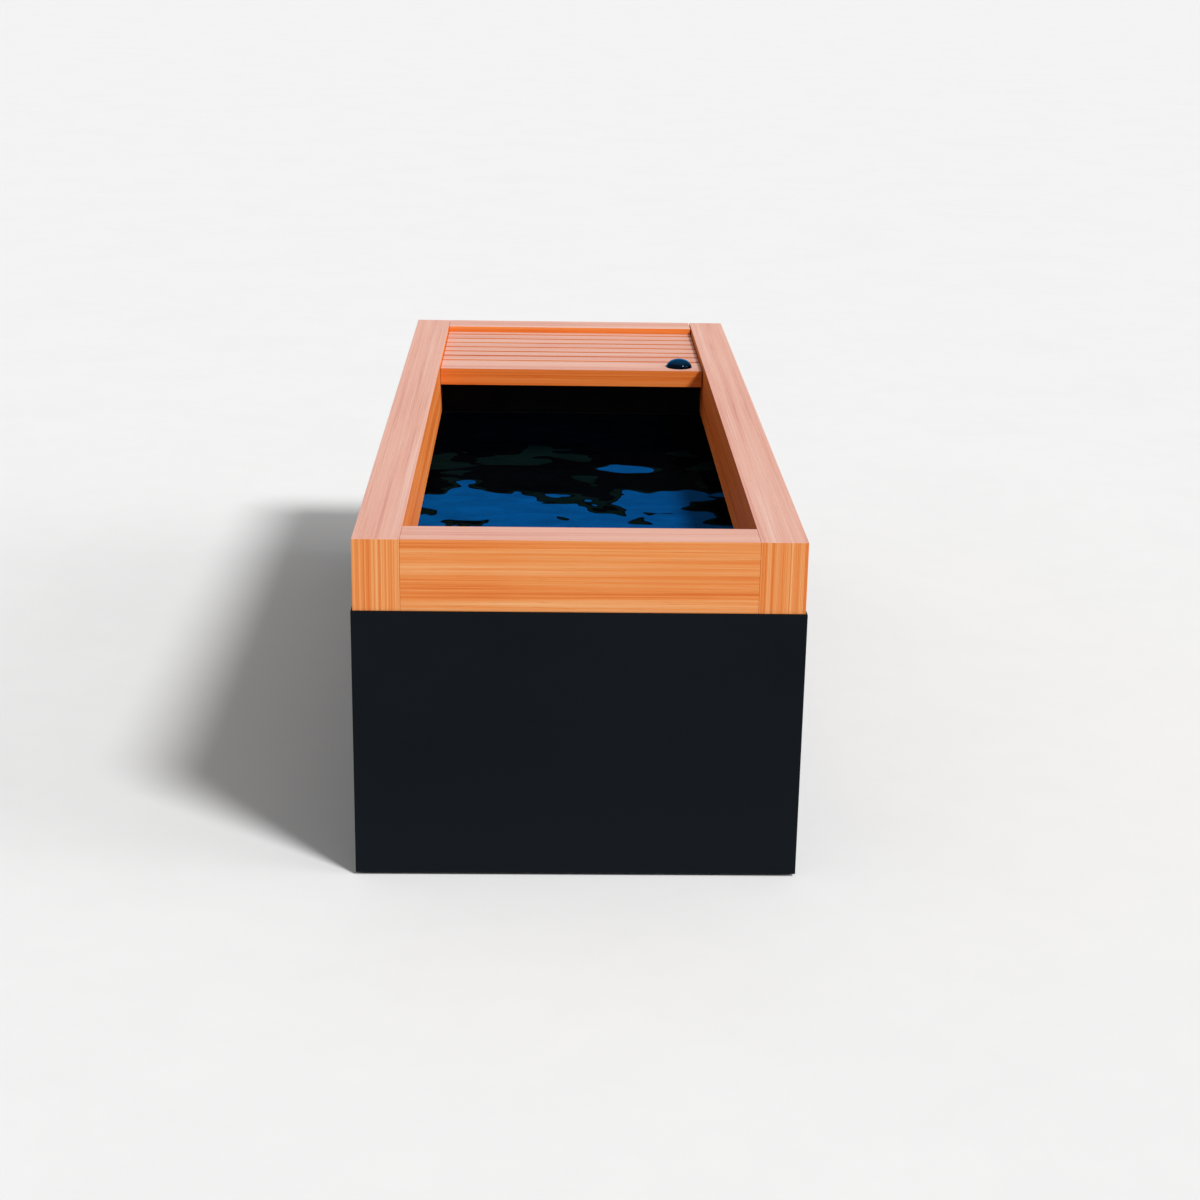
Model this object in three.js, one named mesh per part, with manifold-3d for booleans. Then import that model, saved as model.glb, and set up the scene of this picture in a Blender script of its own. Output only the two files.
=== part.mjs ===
// A cold plunge tub: an insulated basin in a clad body under a timber rim. A slatted lid at the rear end
// covers the bay that holds the chiller, pump and filter. A domed push button sits on the header before it.
// Millimetres. +X is to the right, +Y runs from the front end to the rear end and +Z is up.
// The origin is on the floor under the middle of the tub.
import * as THREE from "three";
import { mergeVertices } from "three/addons/utils/BufferGeometryUtils.js";
import Module from "manifold-3d";

const wasm = await Module();
wasm.setup();

// Fits and facets
const SEAT_GAP = 0.3; // between pieces that sit on or against each other
const HOLE_CLEARANCE = 0.5; // round a neck or tube that passes through a wall
const RUNNING_CLEARANCE = 0.6; // round a shaft, stem or ball that moves
const EQUIPMENT_MARGIN = 12; // between pieces that stand side by side in the bay
const CUT_PAST = 1; // how far a cutting body runs past the face it opens
const LAP = 2; // how far joined stretches of one piece run into each other
const ROUND_SIDES = 24;
const BALL_SIDES = 20;
const SMALL_SIDES = 12;

// Timber rim
const RIM_WIDTH = 850;
const RIM_LENGTH = 2150;
const TIMBER_WIDTH = 89;
const TIMBER_HEIGHT = 140;

// Deck at the rear end: header, slats, battens and cleats
const DECK_RECESS = 15; // deck top below the rim top
const DECK_LEFT_GAP = 1; // end gaps that let the cross timbers swell
const DECK_RIGHT_GAP = 3;
const HEADER_DEPTH = 104;
const HEADER_HEIGHT = 42;
const SLAT_COUNT = 6; // full slats, in front of the narrow rear slat
const SLAT_WIDTH = 45;
const SLAT_GAP = 12;
const SLAT_THICKNESS = 20;
const REAR_SLAT_WIDTH = 24;
const LID_REAR_GAP = 3;
const BATTEN_WIDTH = 40;
const BATTEN_THICKNESS = 20;
const BATTEN_SPACING = 400;
const CLEAT_WIDTH = 25;
const CLEAT_HEIGHT = 30;

// Clad body
const FLOOR_CLEARANCE = 5; // cladding above the floor
const PANEL_HEIGHT = 535;
const PANEL_THICKNESS = 3;
const PANEL_PROUD = 3.5; // cladding face outside the timber face
const SKID_WIDTH = 70;
const SKID_HEIGHT = 20;
const SKID_INSET = 80;
const SKID_END_INSET = 60;
const BASE_THICKNESS = 18;
const POST_SIZE = 40;
const POST_WALL = 3;
const BULKHEAD_THICKNESS = 18;

// Basin and its insulation
const BASIN_WALL = 6;
const BASIN_SETBACK = 6; // basin wall outside the timber's inner face, which makes a drip edge
const BASIN_CORNER_RADIUS = 40;
const BASIN_FLOOR_RADIUS = 25;
const BASIN_CORNER_STEPS = 5;
const FLANGE_THICKNESS = 5;
const FLANGE_MARGIN = 2; // flange edge inside the timber face
const REAR_INSULATION = 15;
const FLOOR_INSULATION = 65;

// Hoses and the spigots that they push on
const HOSE_BORE_RADIUS = 13.5;
const HOSE_WALL = 3;
const HOSE_STEPS = 16;
const HOSE_CORNER_STEPS = 5; // half the sides of its section
const SPIGOT_RADIUS = 12.5;
const SPIGOT_BORE_RADIUS = 9.5;
const SPIGOT_LENGTH = 25;
const HOSE_ENGAGEMENT = 20;

// Fittings in the basin's rear wall and floor
const FITTING_FLANGE_RADIUS = 42;
const FITTING_FLANGE_THICKNESS = 6;
const FITTING_NECK_RADIUS = 25;
const FITTING_NUT_RADIUS = 34;
const FITTING_NUT_THICKNESS = 10;
const STRAINER_FACE = 4;
const STRAINER_CHAMBER_RADIUS = 19;
const STRAINER_CHAMBER_DEPTH = 20;
const STRAINER_HOLE_RADIUS = 4;
const STRAINER_HOLE_CIRCLE = 12;
const STRAINER_HOLE_COUNT = 6;
const SUCTION_HEIGHT = 90; // above the basin floor
const SUCTION_REACH = 95; // from the suction fitting across to the pump inlet
const RETURN_HEIGHT = 320;
const RETURN_REACH = 110; // from the heat exchanger across to the return fitting
const EYEBALL_RADIUS = 18;
const EYEBALL_BORE_RADIUS = 7;
const EYEBALL_SINK = 6; // its centre behind the basin's inner face
const SUMP_RADIUS = 30;
const SUMP_WALL = 5;
const SUMP_CLEARANCE = 4; // above the base board
const DRAIN_FROM_REAR = 90; // sump centre in front of the basin's rear wall
const DRAIN_HEIGHT = 42; // drain pipe above the base board
const DRAIN_CHANNEL_CLEARANCE = 3;
const DRAIN_PIPE_GAP = 3; // at each end of the pipe

// Service recess in the rear panel, with the drain valve and the power inlet
const RECESS_WIDTH = 170;
const RECESS_HEIGHT = 115;
const RECESS_DEPTH = 70;
const RECESS_WALL = 3;
const RECESS_LIP = 10;
const RECESS_LIP_THICKNESS = 2;
const VALVE_TO_RECESS_SIDE = 45;
const VALVE_TO_RECESS_FLOOR = 22;
const VALVE_LENGTH = 60;
const VALVE_FLANGE_RADIUS = 20;
const VALVE_FLANGE_THICKNESS = 5;
const VALVE_BARREL_RADIUS = 17;
const VALVE_BALL_RADIUS = 12.5;
const VALVE_BORE_RADIUS = 8;
const VALVE_OUTLET_RADIUS = 13; // a hose collar screws over it
const VALVE_OUTLET_LENGTH = 16;
const VALVE_STEM_RADIUS = 4;
const VALVE_STEM_RISE = 10; // lever above the barrel
const LEVER_LENGTH = 42;
const LEVER_WIDTH = 12;
const LEVER_THICKNESS = 4;
const INLET_FROM_SIDE = 38;
const INLET_FROM_TOP = 45;
const INLET_FLANGE_RADIUS = 22;
const INLET_FLANGE_THICKNESS = 3;
const INLET_BODY_RADIUS = 16;
const INLET_BODY_DEPTH = 24;
const INLET_SOCKET_RADIUS = 11;
const INLET_SOCKET_DEPTH = 18;

// Push button on the header
const BUTTON_INSET = 59; // its centre from the right rail
const DOME_DIAMETER = 65;
const DOME_RISE = 21; // above the header
const DOME_SKIRT = 3; // sunk below the header's top
const DOME_WALL = 3;
const DOME_STEPS = 10;
const DOME_CLEARANCE = 1.2; // round the skirt
const BUTTON_TRAVEL = 4;
const BUTTON_STOP_GAP = 1; // left under the skirt when pressed
const BUTTON_STEM_RADIUS = 6;
const BUTTON_FOOT_RADIUS = 9.5;
const BUTTON_FOOT_THICKNESS = 3;
const HOUSING_FLANGE_RADIUS = 24;
const HOUSING_FLANGE_THICKNESS = 3;
const HOUSING_CAVITY_RADIUS = 11;
const HOUSING_WALL = 4;
const SPRING_ROOM = 9; // height left for the pressed spring
const SPRING_RADIUS = 7;
const SPRING_WIRE_RADIUS = 0.8;
const SPRING_TURNS = 4;
const SPRING_STEPS_PER_TURN = 8;
const AIR_TUBE_RADIUS = 2.5;
const AIR_TUBE_STEPS = 26;
const AIR_TUBE_DROP = 70; // where it leaves the header
const AIR_TUBE_SWEEP = 40;

// Chiller
const COMPRESSOR_RADIUS = 72;
const COMPRESSOR_HEIGHT = 210;
const COMPRESSOR_CROWN = 40;
const COMPRESSOR_PLATE = 170;
const COMPRESSOR_PLATE_THICKNESS = 5;
const EXCHANGER_RADIUS = 60;
const EXCHANGER_HEIGHT = 300;
const EXCHANGER_CROWN = 25;
const EXCHANGER_INLET_HEIGHT = 150;
const CONDENSER_SIZE = 250;
const CONDENSER_DEPTH = 40;
const CONDENSER_FINS = 22;
const CONDENSER_FIN_DEPTH = 14;
const CONDENSER_TO_GRILLE = 4;
const FAN_RADIUS = 98;
const FAN_TIP_CLEARANCE = 6;
const FAN_END_CLEARANCE = 4;
const FAN_HUB_RADIUS = 26;
const FAN_BLADES = 5;
const FAN_BLADE_CHORD = 60;
const FAN_BLADE_THICKNESS = 3;
const FAN_BLADE_PITCH = 24; // degrees
const FAN_SHAFT_RADIUS = 5;
const FAN_SHAFT_LENGTH = 20;
const SHROUD_PLATE = 3;
const SHROUD_COLLAR_WALL = 3;
const SHROUD_COLLAR_DEPTH = 40;
const SHROUD_BAR_WIDTH = 14;
const SHROUD_BAR_DEPTH = 8;
const FAN_MOTOR_RADIUS = 32;
const FAN_MOTOR_LENGTH = 55;
const VENT_SIZE = 200;
const VENT_LIP = 10;
const VENT_PLATE = 3;
const VENT_SLOTS = 9;
const VENT_SLOT_HEIGHT = 11;

// Pump
const PUMP_FROM_BULKHEAD = 60;
const PUMP_AXIS_HEIGHT = 80;
const PUMP_RADIUS = 62;
const PUMP_CASING_DEPTH = 44;
const PUMP_CAVITY_RADIUS = 50;
const PUMP_CAVITY_DEPTH = 28;
const PUMP_MOTOR_RADIUS = 55;
const PUMP_MOTOR_LENGTH = 140;
const PUMP_BACK_PLATE = 8;
const PUMP_FOOT_WIDTH = 100;
const PUMP_FOOT_LENGTH = 90;
const PUMP_FOOT_RISE = 50; // how far the foot runs up into the motor
const IMPELLER_RADIUS = 44;
const IMPELLER_DISC = 4;
const IMPELLER_VANES = 6;
const IMPELLER_VANE_HEIGHT = 12;
const IMPELLER_VANE_THICKNESS = 4;
const IMPELLER_EYE_RADIUS = 16;
const IMPELLER_SHAFT_RADIUS = 5;
const IMPELLER_SHAFT_LENGTH = 22;
const IMPELLER_BACK_GAP = 3;

// Filter
const FILTER_RADIUS = 75;
const FILTER_HEIGHT = 290;
const FILTER_WALL = 5;
const FILTER_COLLAR = 5; // how far the top collar stands out
const FILTER_COLLAR_HEIGHT = 14;
const FILTER_INLET_HEIGHT = 240;
const FILTER_OUTLET_HEIGHT = 150;
const CAP_CLEARANCE = 1.5;
const CAP_WALL = 4;
const CAP_TOP = 6;
const CAP_GRIP_LENGTH = 110;
const CAP_GRIP_WIDTH = 18;
const CAP_GRIP_HEIGHT = 28;
const CARTRIDGE_RADIUS = 56;
const CARTRIDGE_PLEAT_DEPTH = 9;
const CARTRIDGE_PLEATS = 28;
const CARTRIDGE_BORE_RADIUS = 18;
const CARTRIDGE_HEIGHT = 250;

// Control box on the rear wall
const CONTROL_WIDTH = 180;
const CONTROL_DEPTH = 60;
const CONTROL_HEIGHT = 150;
const CONTROL_CORNER_RADIUS = 8;
const CONTROL_ABOVE_RECESS = 60;

// Levels and faces that the sizes above fix
const RIM_SIDE = RIM_WIDTH / 2;
const RIM_FRONT = -RIM_LENGTH / 2;
const RIM_REAR = RIM_LENGTH / 2;
const BODY_TOP = FLOOR_CLEARANCE + PANEL_HEIGHT;
const RIM_TOP = BODY_TOP + TIMBER_HEIGHT;
const WELL_SIDE = RIM_SIDE - TIMBER_WIDTH;
const WELL_FRONT = RIM_FRONT + TIMBER_WIDTH;
const REAR_RAIL_FRONT = RIM_REAR - TIMBER_WIDTH;
const DECK_TOP = RIM_TOP - DECK_RECESS;
const SLAT_PITCH = SLAT_WIDTH + SLAT_GAP;
const SLAT_BOTTOM = DECK_TOP - SLAT_THICKNESS;
const LID_REAR = REAR_RAIL_FRONT - LID_REAR_GAP;
const LID_FRONT = LID_REAR - REAR_SLAT_WIDTH - SLAT_COUNT * SLAT_PITCH;
const BAY_FRONT = LID_FRONT - SLAT_GAP; // rear faces of the header and the bulkhead
const HEADER_FRONT = BAY_FRONT - HEADER_DEPTH;
const HEADER_BOTTOM = DECK_TOP - HEADER_HEIGHT;
const PANEL_OUTSIDE = PANEL_PROUD; // from the timber faces
const PANEL_INSIDE = PANEL_PROUD - PANEL_THICKNESS;
const BASE_BOTTOM = SKID_HEIGHT + SEAT_GAP;
const BASE_TOP = BASE_BOTTOM + BASE_THICKNESS;
const BAY_FLOOR = BASE_TOP + SEAT_GAP;
const BAY_SIDE = RIM_SIDE + PANEL_INSIDE - EQUIPMENT_MARGIN;
const BAY_REAR = RIM_REAR + PANEL_INSIDE - SEAT_GAP; // rear faces of what is fixed to the rear panel
const BULKHEAD_FRONT = BAY_FRONT - BULKHEAD_THICKNESS;
const FLANGE_TOP = BODY_TOP - SEAT_GAP;
const FLANGE_BOTTOM = FLANGE_TOP - FLANGE_THICKNESS;
const BASIN_SIDE = WELL_SIDE + BASIN_SETBACK;
const BASIN_FRONT = WELL_FRONT - BASIN_SETBACK;
const BASIN_REAR = BULKHEAD_FRONT - REAR_INSULATION - BASIN_WALL - 2 * SEAT_GAP;
const BASIN_FLOOR = BAY_FLOOR + FLOOR_INSULATION + SEAT_GAP + BASIN_WALL;
const REAR_WALL_DEPTH = BAY_FRONT - BASIN_REAR; // basin wall, foam and bulkhead
const HOSE_RADIUS = HOSE_BORE_RADIUS + HOSE_WALL;
const DRAIN_Y = BASIN_REAR - DRAIN_FROM_REAR;
const DRAIN_Z = BASE_TOP + DRAIN_HEIGHT;
const RECESS_LEFT = -VALVE_TO_RECESS_SIDE;
const RECESS_RIGHT = RECESS_LEFT + RECESS_WIDTH;
const RECESS_BOTTOM = DRAIN_Z - VALVE_TO_RECESS_FLOOR;
const RECESS_TOP = RECESS_BOTTOM + RECESS_HEIGHT;
const RECESS_BACK = BAY_REAR - RECESS_DEPTH;
const INLET_X = RECESS_RIGHT - INLET_FROM_SIDE;
const INLET_Z = RECESS_TOP - INLET_FROM_TOP;

// Where the equipment stands in the bay
const COMPRESSOR_X = -BAY_SIDE + COMPRESSOR_PLATE / 2;
const COMPRESSOR_Y = BAY_FRONT + EQUIPMENT_MARGIN + COMPRESSOR_PLATE / 2;
const EXCHANGER_X = -BAY_SIDE + COMPRESSOR_PLATE + EQUIPMENT_MARGIN + EXCHANGER_RADIUS;
const EXCHANGER_Y = BAY_FRONT + EQUIPMENT_MARGIN + EXCHANGER_RADIUS;
const CONDENSER_X = -RIM_SIDE + POST_SIZE + EQUIPMENT_MARGIN + CONDENSER_SIZE / 2;
const CONDENSER_Z = BAY_FLOOR + CONDENSER_SIZE / 2;
const CONDENSER_REAR = BAY_REAR - VENT_PLATE - CONDENSER_TO_GRILLE;
const SHROUD_Y = CONDENSER_REAR - CONDENSER_DEPTH - SEAT_GAP - SHROUD_COLLAR_DEPTH; // front of its collar
const PUMP_BACK = BAY_SIDE - PUMP_MOTOR_LENGTH - PUMP_BACK_PLATE - SEAT_GAP; // rear plane of the casing
const PUMP_FACE = PUMP_BACK - PUMP_CASING_DEPTH;
const PUMP_Y = BAY_FRONT + PUMP_FROM_BULKHEAD + PUMP_RADIUS;
const PUMP_Z = BAY_FLOOR + PUMP_AXIS_HEIGHT;
const COLLAR_RADIUS = FILTER_RADIUS + FILTER_COLLAR;
const CAP_RADIUS = COLLAR_RADIUS + CAP_CLEARANCE + CAP_WALL;
const FILTER_X = RIM_SIDE - POST_SIZE - EQUIPMENT_MARGIN - CAP_RADIUS;
const FILTER_Y = RIM_REAR - EQUIPMENT_MARGIN - CAP_RADIUS;
const SUCTION_X = PUMP_FACE - SPIGOT_LENGTH - SUCTION_REACH;
const SUCTION_Z = BASIN_FLOOR + SUCTION_HEIGHT;
const RETURN_X = EXCHANGER_X + RETURN_REACH;
const RETURN_Z = BASIN_FLOOR + RETURN_HEIGHT;
const CONTROL_X = (RECESS_LEFT + RECESS_RIGHT) / 2;
const CONTROL_Y = BAY_REAR - CONTROL_DEPTH / 2;
const CONTROL_BOTTOM = RECESS_TOP + RECESS_WALL + RECESS_LIP + CONTROL_ABOVE_RECESS;

// Levels inside the push button, from the header's top
const BUTTON_X = WELL_SIDE - BUTTON_INSET;
const BUTTON_Y = BAY_FRONT - HEADER_DEPTH / 2;
const DOME_RADIUS = DOME_DIAMETER / 2;
const DOME_ROOM = DOME_SKIRT + BUTTON_TRAVEL + BUTTON_STOP_GAP;
const COUNTERBORE_DEPTH = DOME_ROOM + HOUSING_FLANGE_THICKNESS + SEAT_GAP;
const FOOT_TOP = -COUNTERBORE_DEPTH;
const FOOT_BOTTOM = FOOT_TOP - BUTTON_FOOT_THICKNESS;
const HOUSING_FLOOR = FOOT_BOTTOM - BUTTON_TRAVEL - SPRING_ROOM;
const HOUSING_BOTTOM = HOUSING_FLOOR - HOUSING_WALL;
const HOUSING_RADIUS = HOUSING_CAVITY_RADIUS + HOUSING_WALL;
const AIR_PORT = HOUSING_FLOOR + AIR_TUBE_RADIUS;

// Finishes
const finish = (color, roughness, metalness = 0) =>
  new THREE.MeshStandardMaterial({ color, roughness, metalness });
const CEDAR = finish(0xd0813f, 0.55);
const SOFTWOOD = finish(0xc49a63, 0.7);
const CHARCOAL = finish(0x1b1f22, 0.6, 0.2);
const LINER = finish(0x08090b, 0.35);
const PLYWOOD = finish(0x2a2725, 0.8);
const FOAM = finish(0xe0d9b8, 0.95);
const GALVANISED = finish(0x9ba0a3, 0.45, 0.9);
const RUNNER = finish(0x151515, 0.85);
const BLACK_GLOSS = finish(0x030303, 0.06);
const BLACK_PLASTIC = finish(0x17181a, 0.5);
const GREY_PLASTIC = finish(0x8f9498, 0.5);
const WHITE_PLASTIC = finish(0xe6e6e2, 0.4);
const BRASS = finish(0xb08d4a, 0.35, 0.9);
const SPRING_STEEL = finish(0xc4c6c8, 0.3, 1);
const ALUMINIUM = finish(0xbfc3c6, 0.4, 0.9);
const BLACK_STEEL = finish(0x121315, 0.4, 0.4);
const HOSE_RUBBER = finish(0x202224, 0.8);
const PLEATED_PAPER = finish(0xdfe6ea, 0.9);
const LEVER_RED = finish(0xa3221c, 0.45);

// A closed geometry as a solid that can be joined and cut.
function solid(geometry) {
  const plain = geometry.clone();
  plain.deleteAttribute("normal");
  plain.deleteAttribute("uv");
  const merged = mergeVertices(plain);
  const vertProperties = merged.attributes.position.array;
  const triVerts = new Uint32Array(merged.index.array);
  return new wasm.Manifold(new wasm.Mesh({ numProp: 3, vertProperties, triVerts }));
}

function geometryOf(body) {
  const { vertProperties, triVerts } = body.getMesh();
  const geometry = new THREE.BufferGeometry();
  geometry.setAttribute("position", new THREE.BufferAttribute(vertProperties, 3));
  geometry.setIndex(new THREE.BufferAttribute(triVerts, 1));
  geometry.computeVertexNormals();
  return geometry;
}

function cut(body, ...tools) {
  return geometryOf(tools.reduce((left, tool) => left.subtract(solid(tool)), solid(body)));
}

function join(first, ...others) {
  return geometryOf(others.reduce((whole, other) => whole.add(solid(other)), solid(first)));
}

// A box between two faces along each axis.
function block(x, y, z) {
  const spans = [x, y, z];
  const size = spans.map(([low, high]) => high - low);
  const middle = spans.map(([low, high]) => (low + high) / 2);
  return new THREE.BoxGeometry(...size).translate(...middle);
}

// The span between a face and its mirror image across the middle.
const centred = (half) => [-half, half];

// A body turned about +Z from radius and height pairs.
function turned(profile, sides = ROUND_SIDES) {
  const points = profile.map(([radius, height]) => new THREE.Vector2(radius, height));
  return new THREE.LatheGeometry(points, sides).rotateX(Math.PI / 2);
}

function rod(radius, low, high, sides = ROUND_SIDES) {
  return turned([[0, low], [radius, low], [radius, high], [0, high]], sides);
}

function ball(radius) {
  return new THREE.SphereGeometry(radius, BALL_SIDES, BALL_SIDES / 2);
}

// From +Z to the other axes.
const alongX = (geometry) => geometry.rotateY(Math.PI / 2);
const alongY = (geometry) => geometry.rotateX(-Math.PI / 2);

// Points of a quarter ellipse about the axis, from its rim up to its crown.
function crown(radius, height, steps, base = 0) {
  return Array.from({ length: steps + 1 }, (_, i) => {
    const angle = ((i / steps) * Math.PI) / 2;
    return [i < steps ? radius * Math.cos(angle) : 0, base + height * Math.sin(angle)];
  });
}

function rectangle(width, height) {
  const corners = [[-1, -1], [1, -1], [1, 1], [-1, 1]];
  return new THREE.Shape(corners.map(([x, y]) => new THREE.Vector2((x * width) / 2, (y * height) / 2)));
}

function roundedRectangle(width, height, radius) {
  const x = width / 2 - radius;
  const y = height / 2 - radius;
  const outline = new THREE.Shape();
  outline.absarc(x, -y, radius, -Math.PI / 2, 0);
  outline.absarc(x, y, radius, 0, Math.PI / 2);
  outline.absarc(-x, y, radius, Math.PI / 2, Math.PI);
  outline.absarc(-x, -y, radius, Math.PI, (Math.PI * 3) / 2);
  return outline;
}

// A hollow round tube along a curve.
function tubeAlong(curve, radius, boreRadius, steps) {
  const section = new THREE.Shape().absarc(0, 0, radius, 0, Math.PI * 2);
  section.holes.push(new THREE.Path().absarc(0, 0, boreRadius, 0, Math.PI * 2, true));
  const options = { extrudePath: curve, steps, curveSegments: HOSE_CORNER_STEPS };
  return new THREE.ExtrudeGeometry(section, options);
}

// A solid round wire along a curve.
function wireAlong(curve, radius, steps, sides) {
  const section = new THREE.Shape();
  for (let i = 0; i < sides; i += 1) {
    const angle = (i / sides) * Math.PI * 2;
    section[i ? "lineTo" : "moveTo"](radius * Math.cos(angle), radius * Math.sin(angle));
  }
  return new THREE.ExtrudeGeometry(section, { extrudePath: curve, steps });
}

// A hose that is pushed over two spigots, given each spigot's tip and the way that it points.
function hoseBetween(from, fromWay, to, toWay) {
  const reach = from.distanceTo(to) / 2;
  const along = (point, way, length) => point.clone().addScaledVector(way, length);
  const route = new THREE.CurvePath();
  route.add(new THREE.LineCurve3(along(from, fromWay, -HOSE_ENGAGEMENT), from));
  route.add(new THREE.CubicBezierCurve3(from, along(from, fromWay, reach), along(to, toWay, reach), to));
  route.add(new THREE.LineCurve3(to, along(to, toWay, -HOSE_ENGAGEMENT)));
  return tubeAlong(route, HOSE_RADIUS, HOSE_BORE_RADIUS, HOSE_STEPS);
}

function add(group, name, geometry, material) {
  const mesh = new THREE.Mesh(geometry, material);
  mesh.name = name;
  group.add(mesh);
  return mesh;
}

// The left and right copies of a piece that spans from one distance off the middle to another.
const SIDES = [["left", (near, far) => [-far, -near]], ["right", (near, far) => [near, far]]];

// Clad body: skids, base board, posts, panels and bulkhead
function buildBody() {
  const body = new THREE.Group();
  const skidOuter = RIM_SIDE - SKID_INSET;
  const skidLength = [RIM_FRONT + SKID_END_INSET, RIM_REAR - SKID_END_INSET];
  for (const [side, span] of SIDES) {
    const x = span(skidOuter - SKID_WIDTH, skidOuter);
    add(body, `${side}_skid`, block(x, skidLength, [0, SKID_HEIGHT]), RUNNER);
  }
  const baseX = [-RIM_SIDE, RIM_SIDE];
  add(body, "base_board", block(baseX, [RIM_FRONT, RIM_REAR], [BASE_BOTTOM, BASE_TOP]), PLYWOOD);

  const ends = [
    ["front", RIM_FRONT + POST_SIZE / 2, FLANGE_BOTTOM],
    ["rear", RIM_REAR - POST_SIZE / 2, BODY_TOP],
  ];
  for (const [end, y, under] of ends) {
    for (const [side, span] of SIDES) {
      const section = rectangle(POST_SIZE, POST_SIZE);
      section.holes.push(rectangle(POST_SIZE - 2 * POST_WALL, POST_SIZE - 2 * POST_WALL));
      const depth = under - SEAT_GAP - BAY_FLOOR;
      const post = new THREE.ExtrudeGeometry(section, { depth, bevelEnabled: false });
      const [low, high] = span(RIM_SIDE - POST_SIZE, RIM_SIDE);
      add(body, `${end}_${side}_post`, post, GALVANISED).position.set((low + high) / 2, y, BAY_FLOOR);
    }
  }

  const height = [FLOOR_CLEARANCE, BODY_TOP];
  const outerX = [-RIM_SIDE - PANEL_OUTSIDE, RIM_SIDE + PANEL_OUTSIDE];
  const sideY = [RIM_FRONT - PANEL_INSIDE + SEAT_GAP, RIM_REAR + PANEL_INSIDE - SEAT_GAP];
  const frontY = [RIM_FRONT - PANEL_OUTSIDE, RIM_FRONT - PANEL_INSIDE];
  const rearY = [RIM_REAR + PANEL_INSIDE, RIM_REAR + PANEL_OUTSIDE];
  add(body, "front_panel", block(outerX, frontY, height), CHARCOAL);
  for (const [side, span] of SIDES) {
    const x = span(RIM_SIDE + PANEL_INSIDE, RIM_SIDE + PANEL_OUTSIDE);
    add(body, `${side}_panel`, block(x, sideY, height), CHARCOAL);
  }
  const through = [rearY[0] - CUT_PAST, rearY[1] + CUT_PAST];
  const recessHole = block([RECESS_LEFT, RECESS_RIGHT], through, [RECESS_BOTTOM, RECESS_TOP]);
  const ventX = [CONDENSER_X - VENT_SIZE / 2, CONDENSER_X + VENT_SIZE / 2];
  const ventZ = [CONDENSER_Z - VENT_SIZE / 2, CONDENSER_Z + VENT_SIZE / 2];
  const rearPanel = cut(block(outerX, rearY, height), recessHole, block(ventX, through, ventZ));
  add(body, "rear_panel", rearPanel, CHARCOAL);
  add(body, "bulkhead", bulkheadShape(), LINER);
  return body;
}

// A T-shaped board: its wide foot carries the side rails, and its narrower head between them the header.
function bulkheadShape() {
  const shoulder = BODY_TOP - SEAT_GAP;
  const headSide = WELL_SIDE - SEAT_GAP;
  const right = [
    [RIM_SIDE, BAY_FLOOR],
    [RIM_SIDE, shoulder],
    [headSide, shoulder],
    [headSide, HEADER_BOTTOM - SEAT_GAP],
  ];
  const left = right.map(([x, z]) => [-x, z]).reverse();
  const outline = new THREE.Shape([...right, ...left].map(([x, z]) => new THREE.Vector2(x, z)));
  const board = new THREE.ExtrudeGeometry(outline, { depth: BULKHEAD_THICKNESS, bevelEnabled: false });
  board.rotateX(Math.PI / 2).translate(0, BAY_FRONT, 0);
  return cut(board, ...rearWallHoles(), drainChannel());
}

// Holes for the necks of the suction and return fittings, from the basin through to the bay.
function rearWallHoles() {
  const places = [[SUCTION_X, SUCTION_Z], [RETURN_X, RETURN_Z]];
  return places.map(([x, z]) => {
    const hole = rod(FITTING_NECK_RADIUS + HOLE_CLEARANCE, -CUT_PAST, REAR_WALL_DEPTH + CUT_PAST);
    return alongY(hole).translate(x, BASIN_REAR, z);
  });
}

// The way under the basin for the drain pipe, open at the bottom.
function drainChannel() {
  const half = HOSE_RADIUS + DRAIN_CHANNEL_CLEARANCE;
  return block([-half, half], [DRAIN_Y, BAY_FRONT + CUT_PAST], [BASE_TOP - CUT_PAST, DRAIN_Z + half]);
}

// The basin's round-cornered inner form, or the same form grown by an offset, straight past a height.
function basinForm(offset, past) {
  const bottom = BASIN_FLOOR - offset;
  const floorRadius = BASIN_FLOOR_RADIUS + offset;
  const length = BASIN_REAR - BASIN_FRONT + 2 * offset;
  const outline = roundedRectangle(2 * (BASIN_SIDE + offset), length, BASIN_CORNER_RADIUS + offset);
  const form = new THREE.ExtrudeGeometry(outline, {
    depth: past - bottom,
    curveSegments: BASIN_CORNER_STEPS,
    bevelSegments: BASIN_CORNER_STEPS,
    bevelThickness: floorRadius,
    bevelSize: floorRadius,
    bevelOffset: -floorRadius,
  });
  return form.translate(0, (BASIN_FRONT + BASIN_REAR) / 2, bottom + floorRadius);
}

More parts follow.
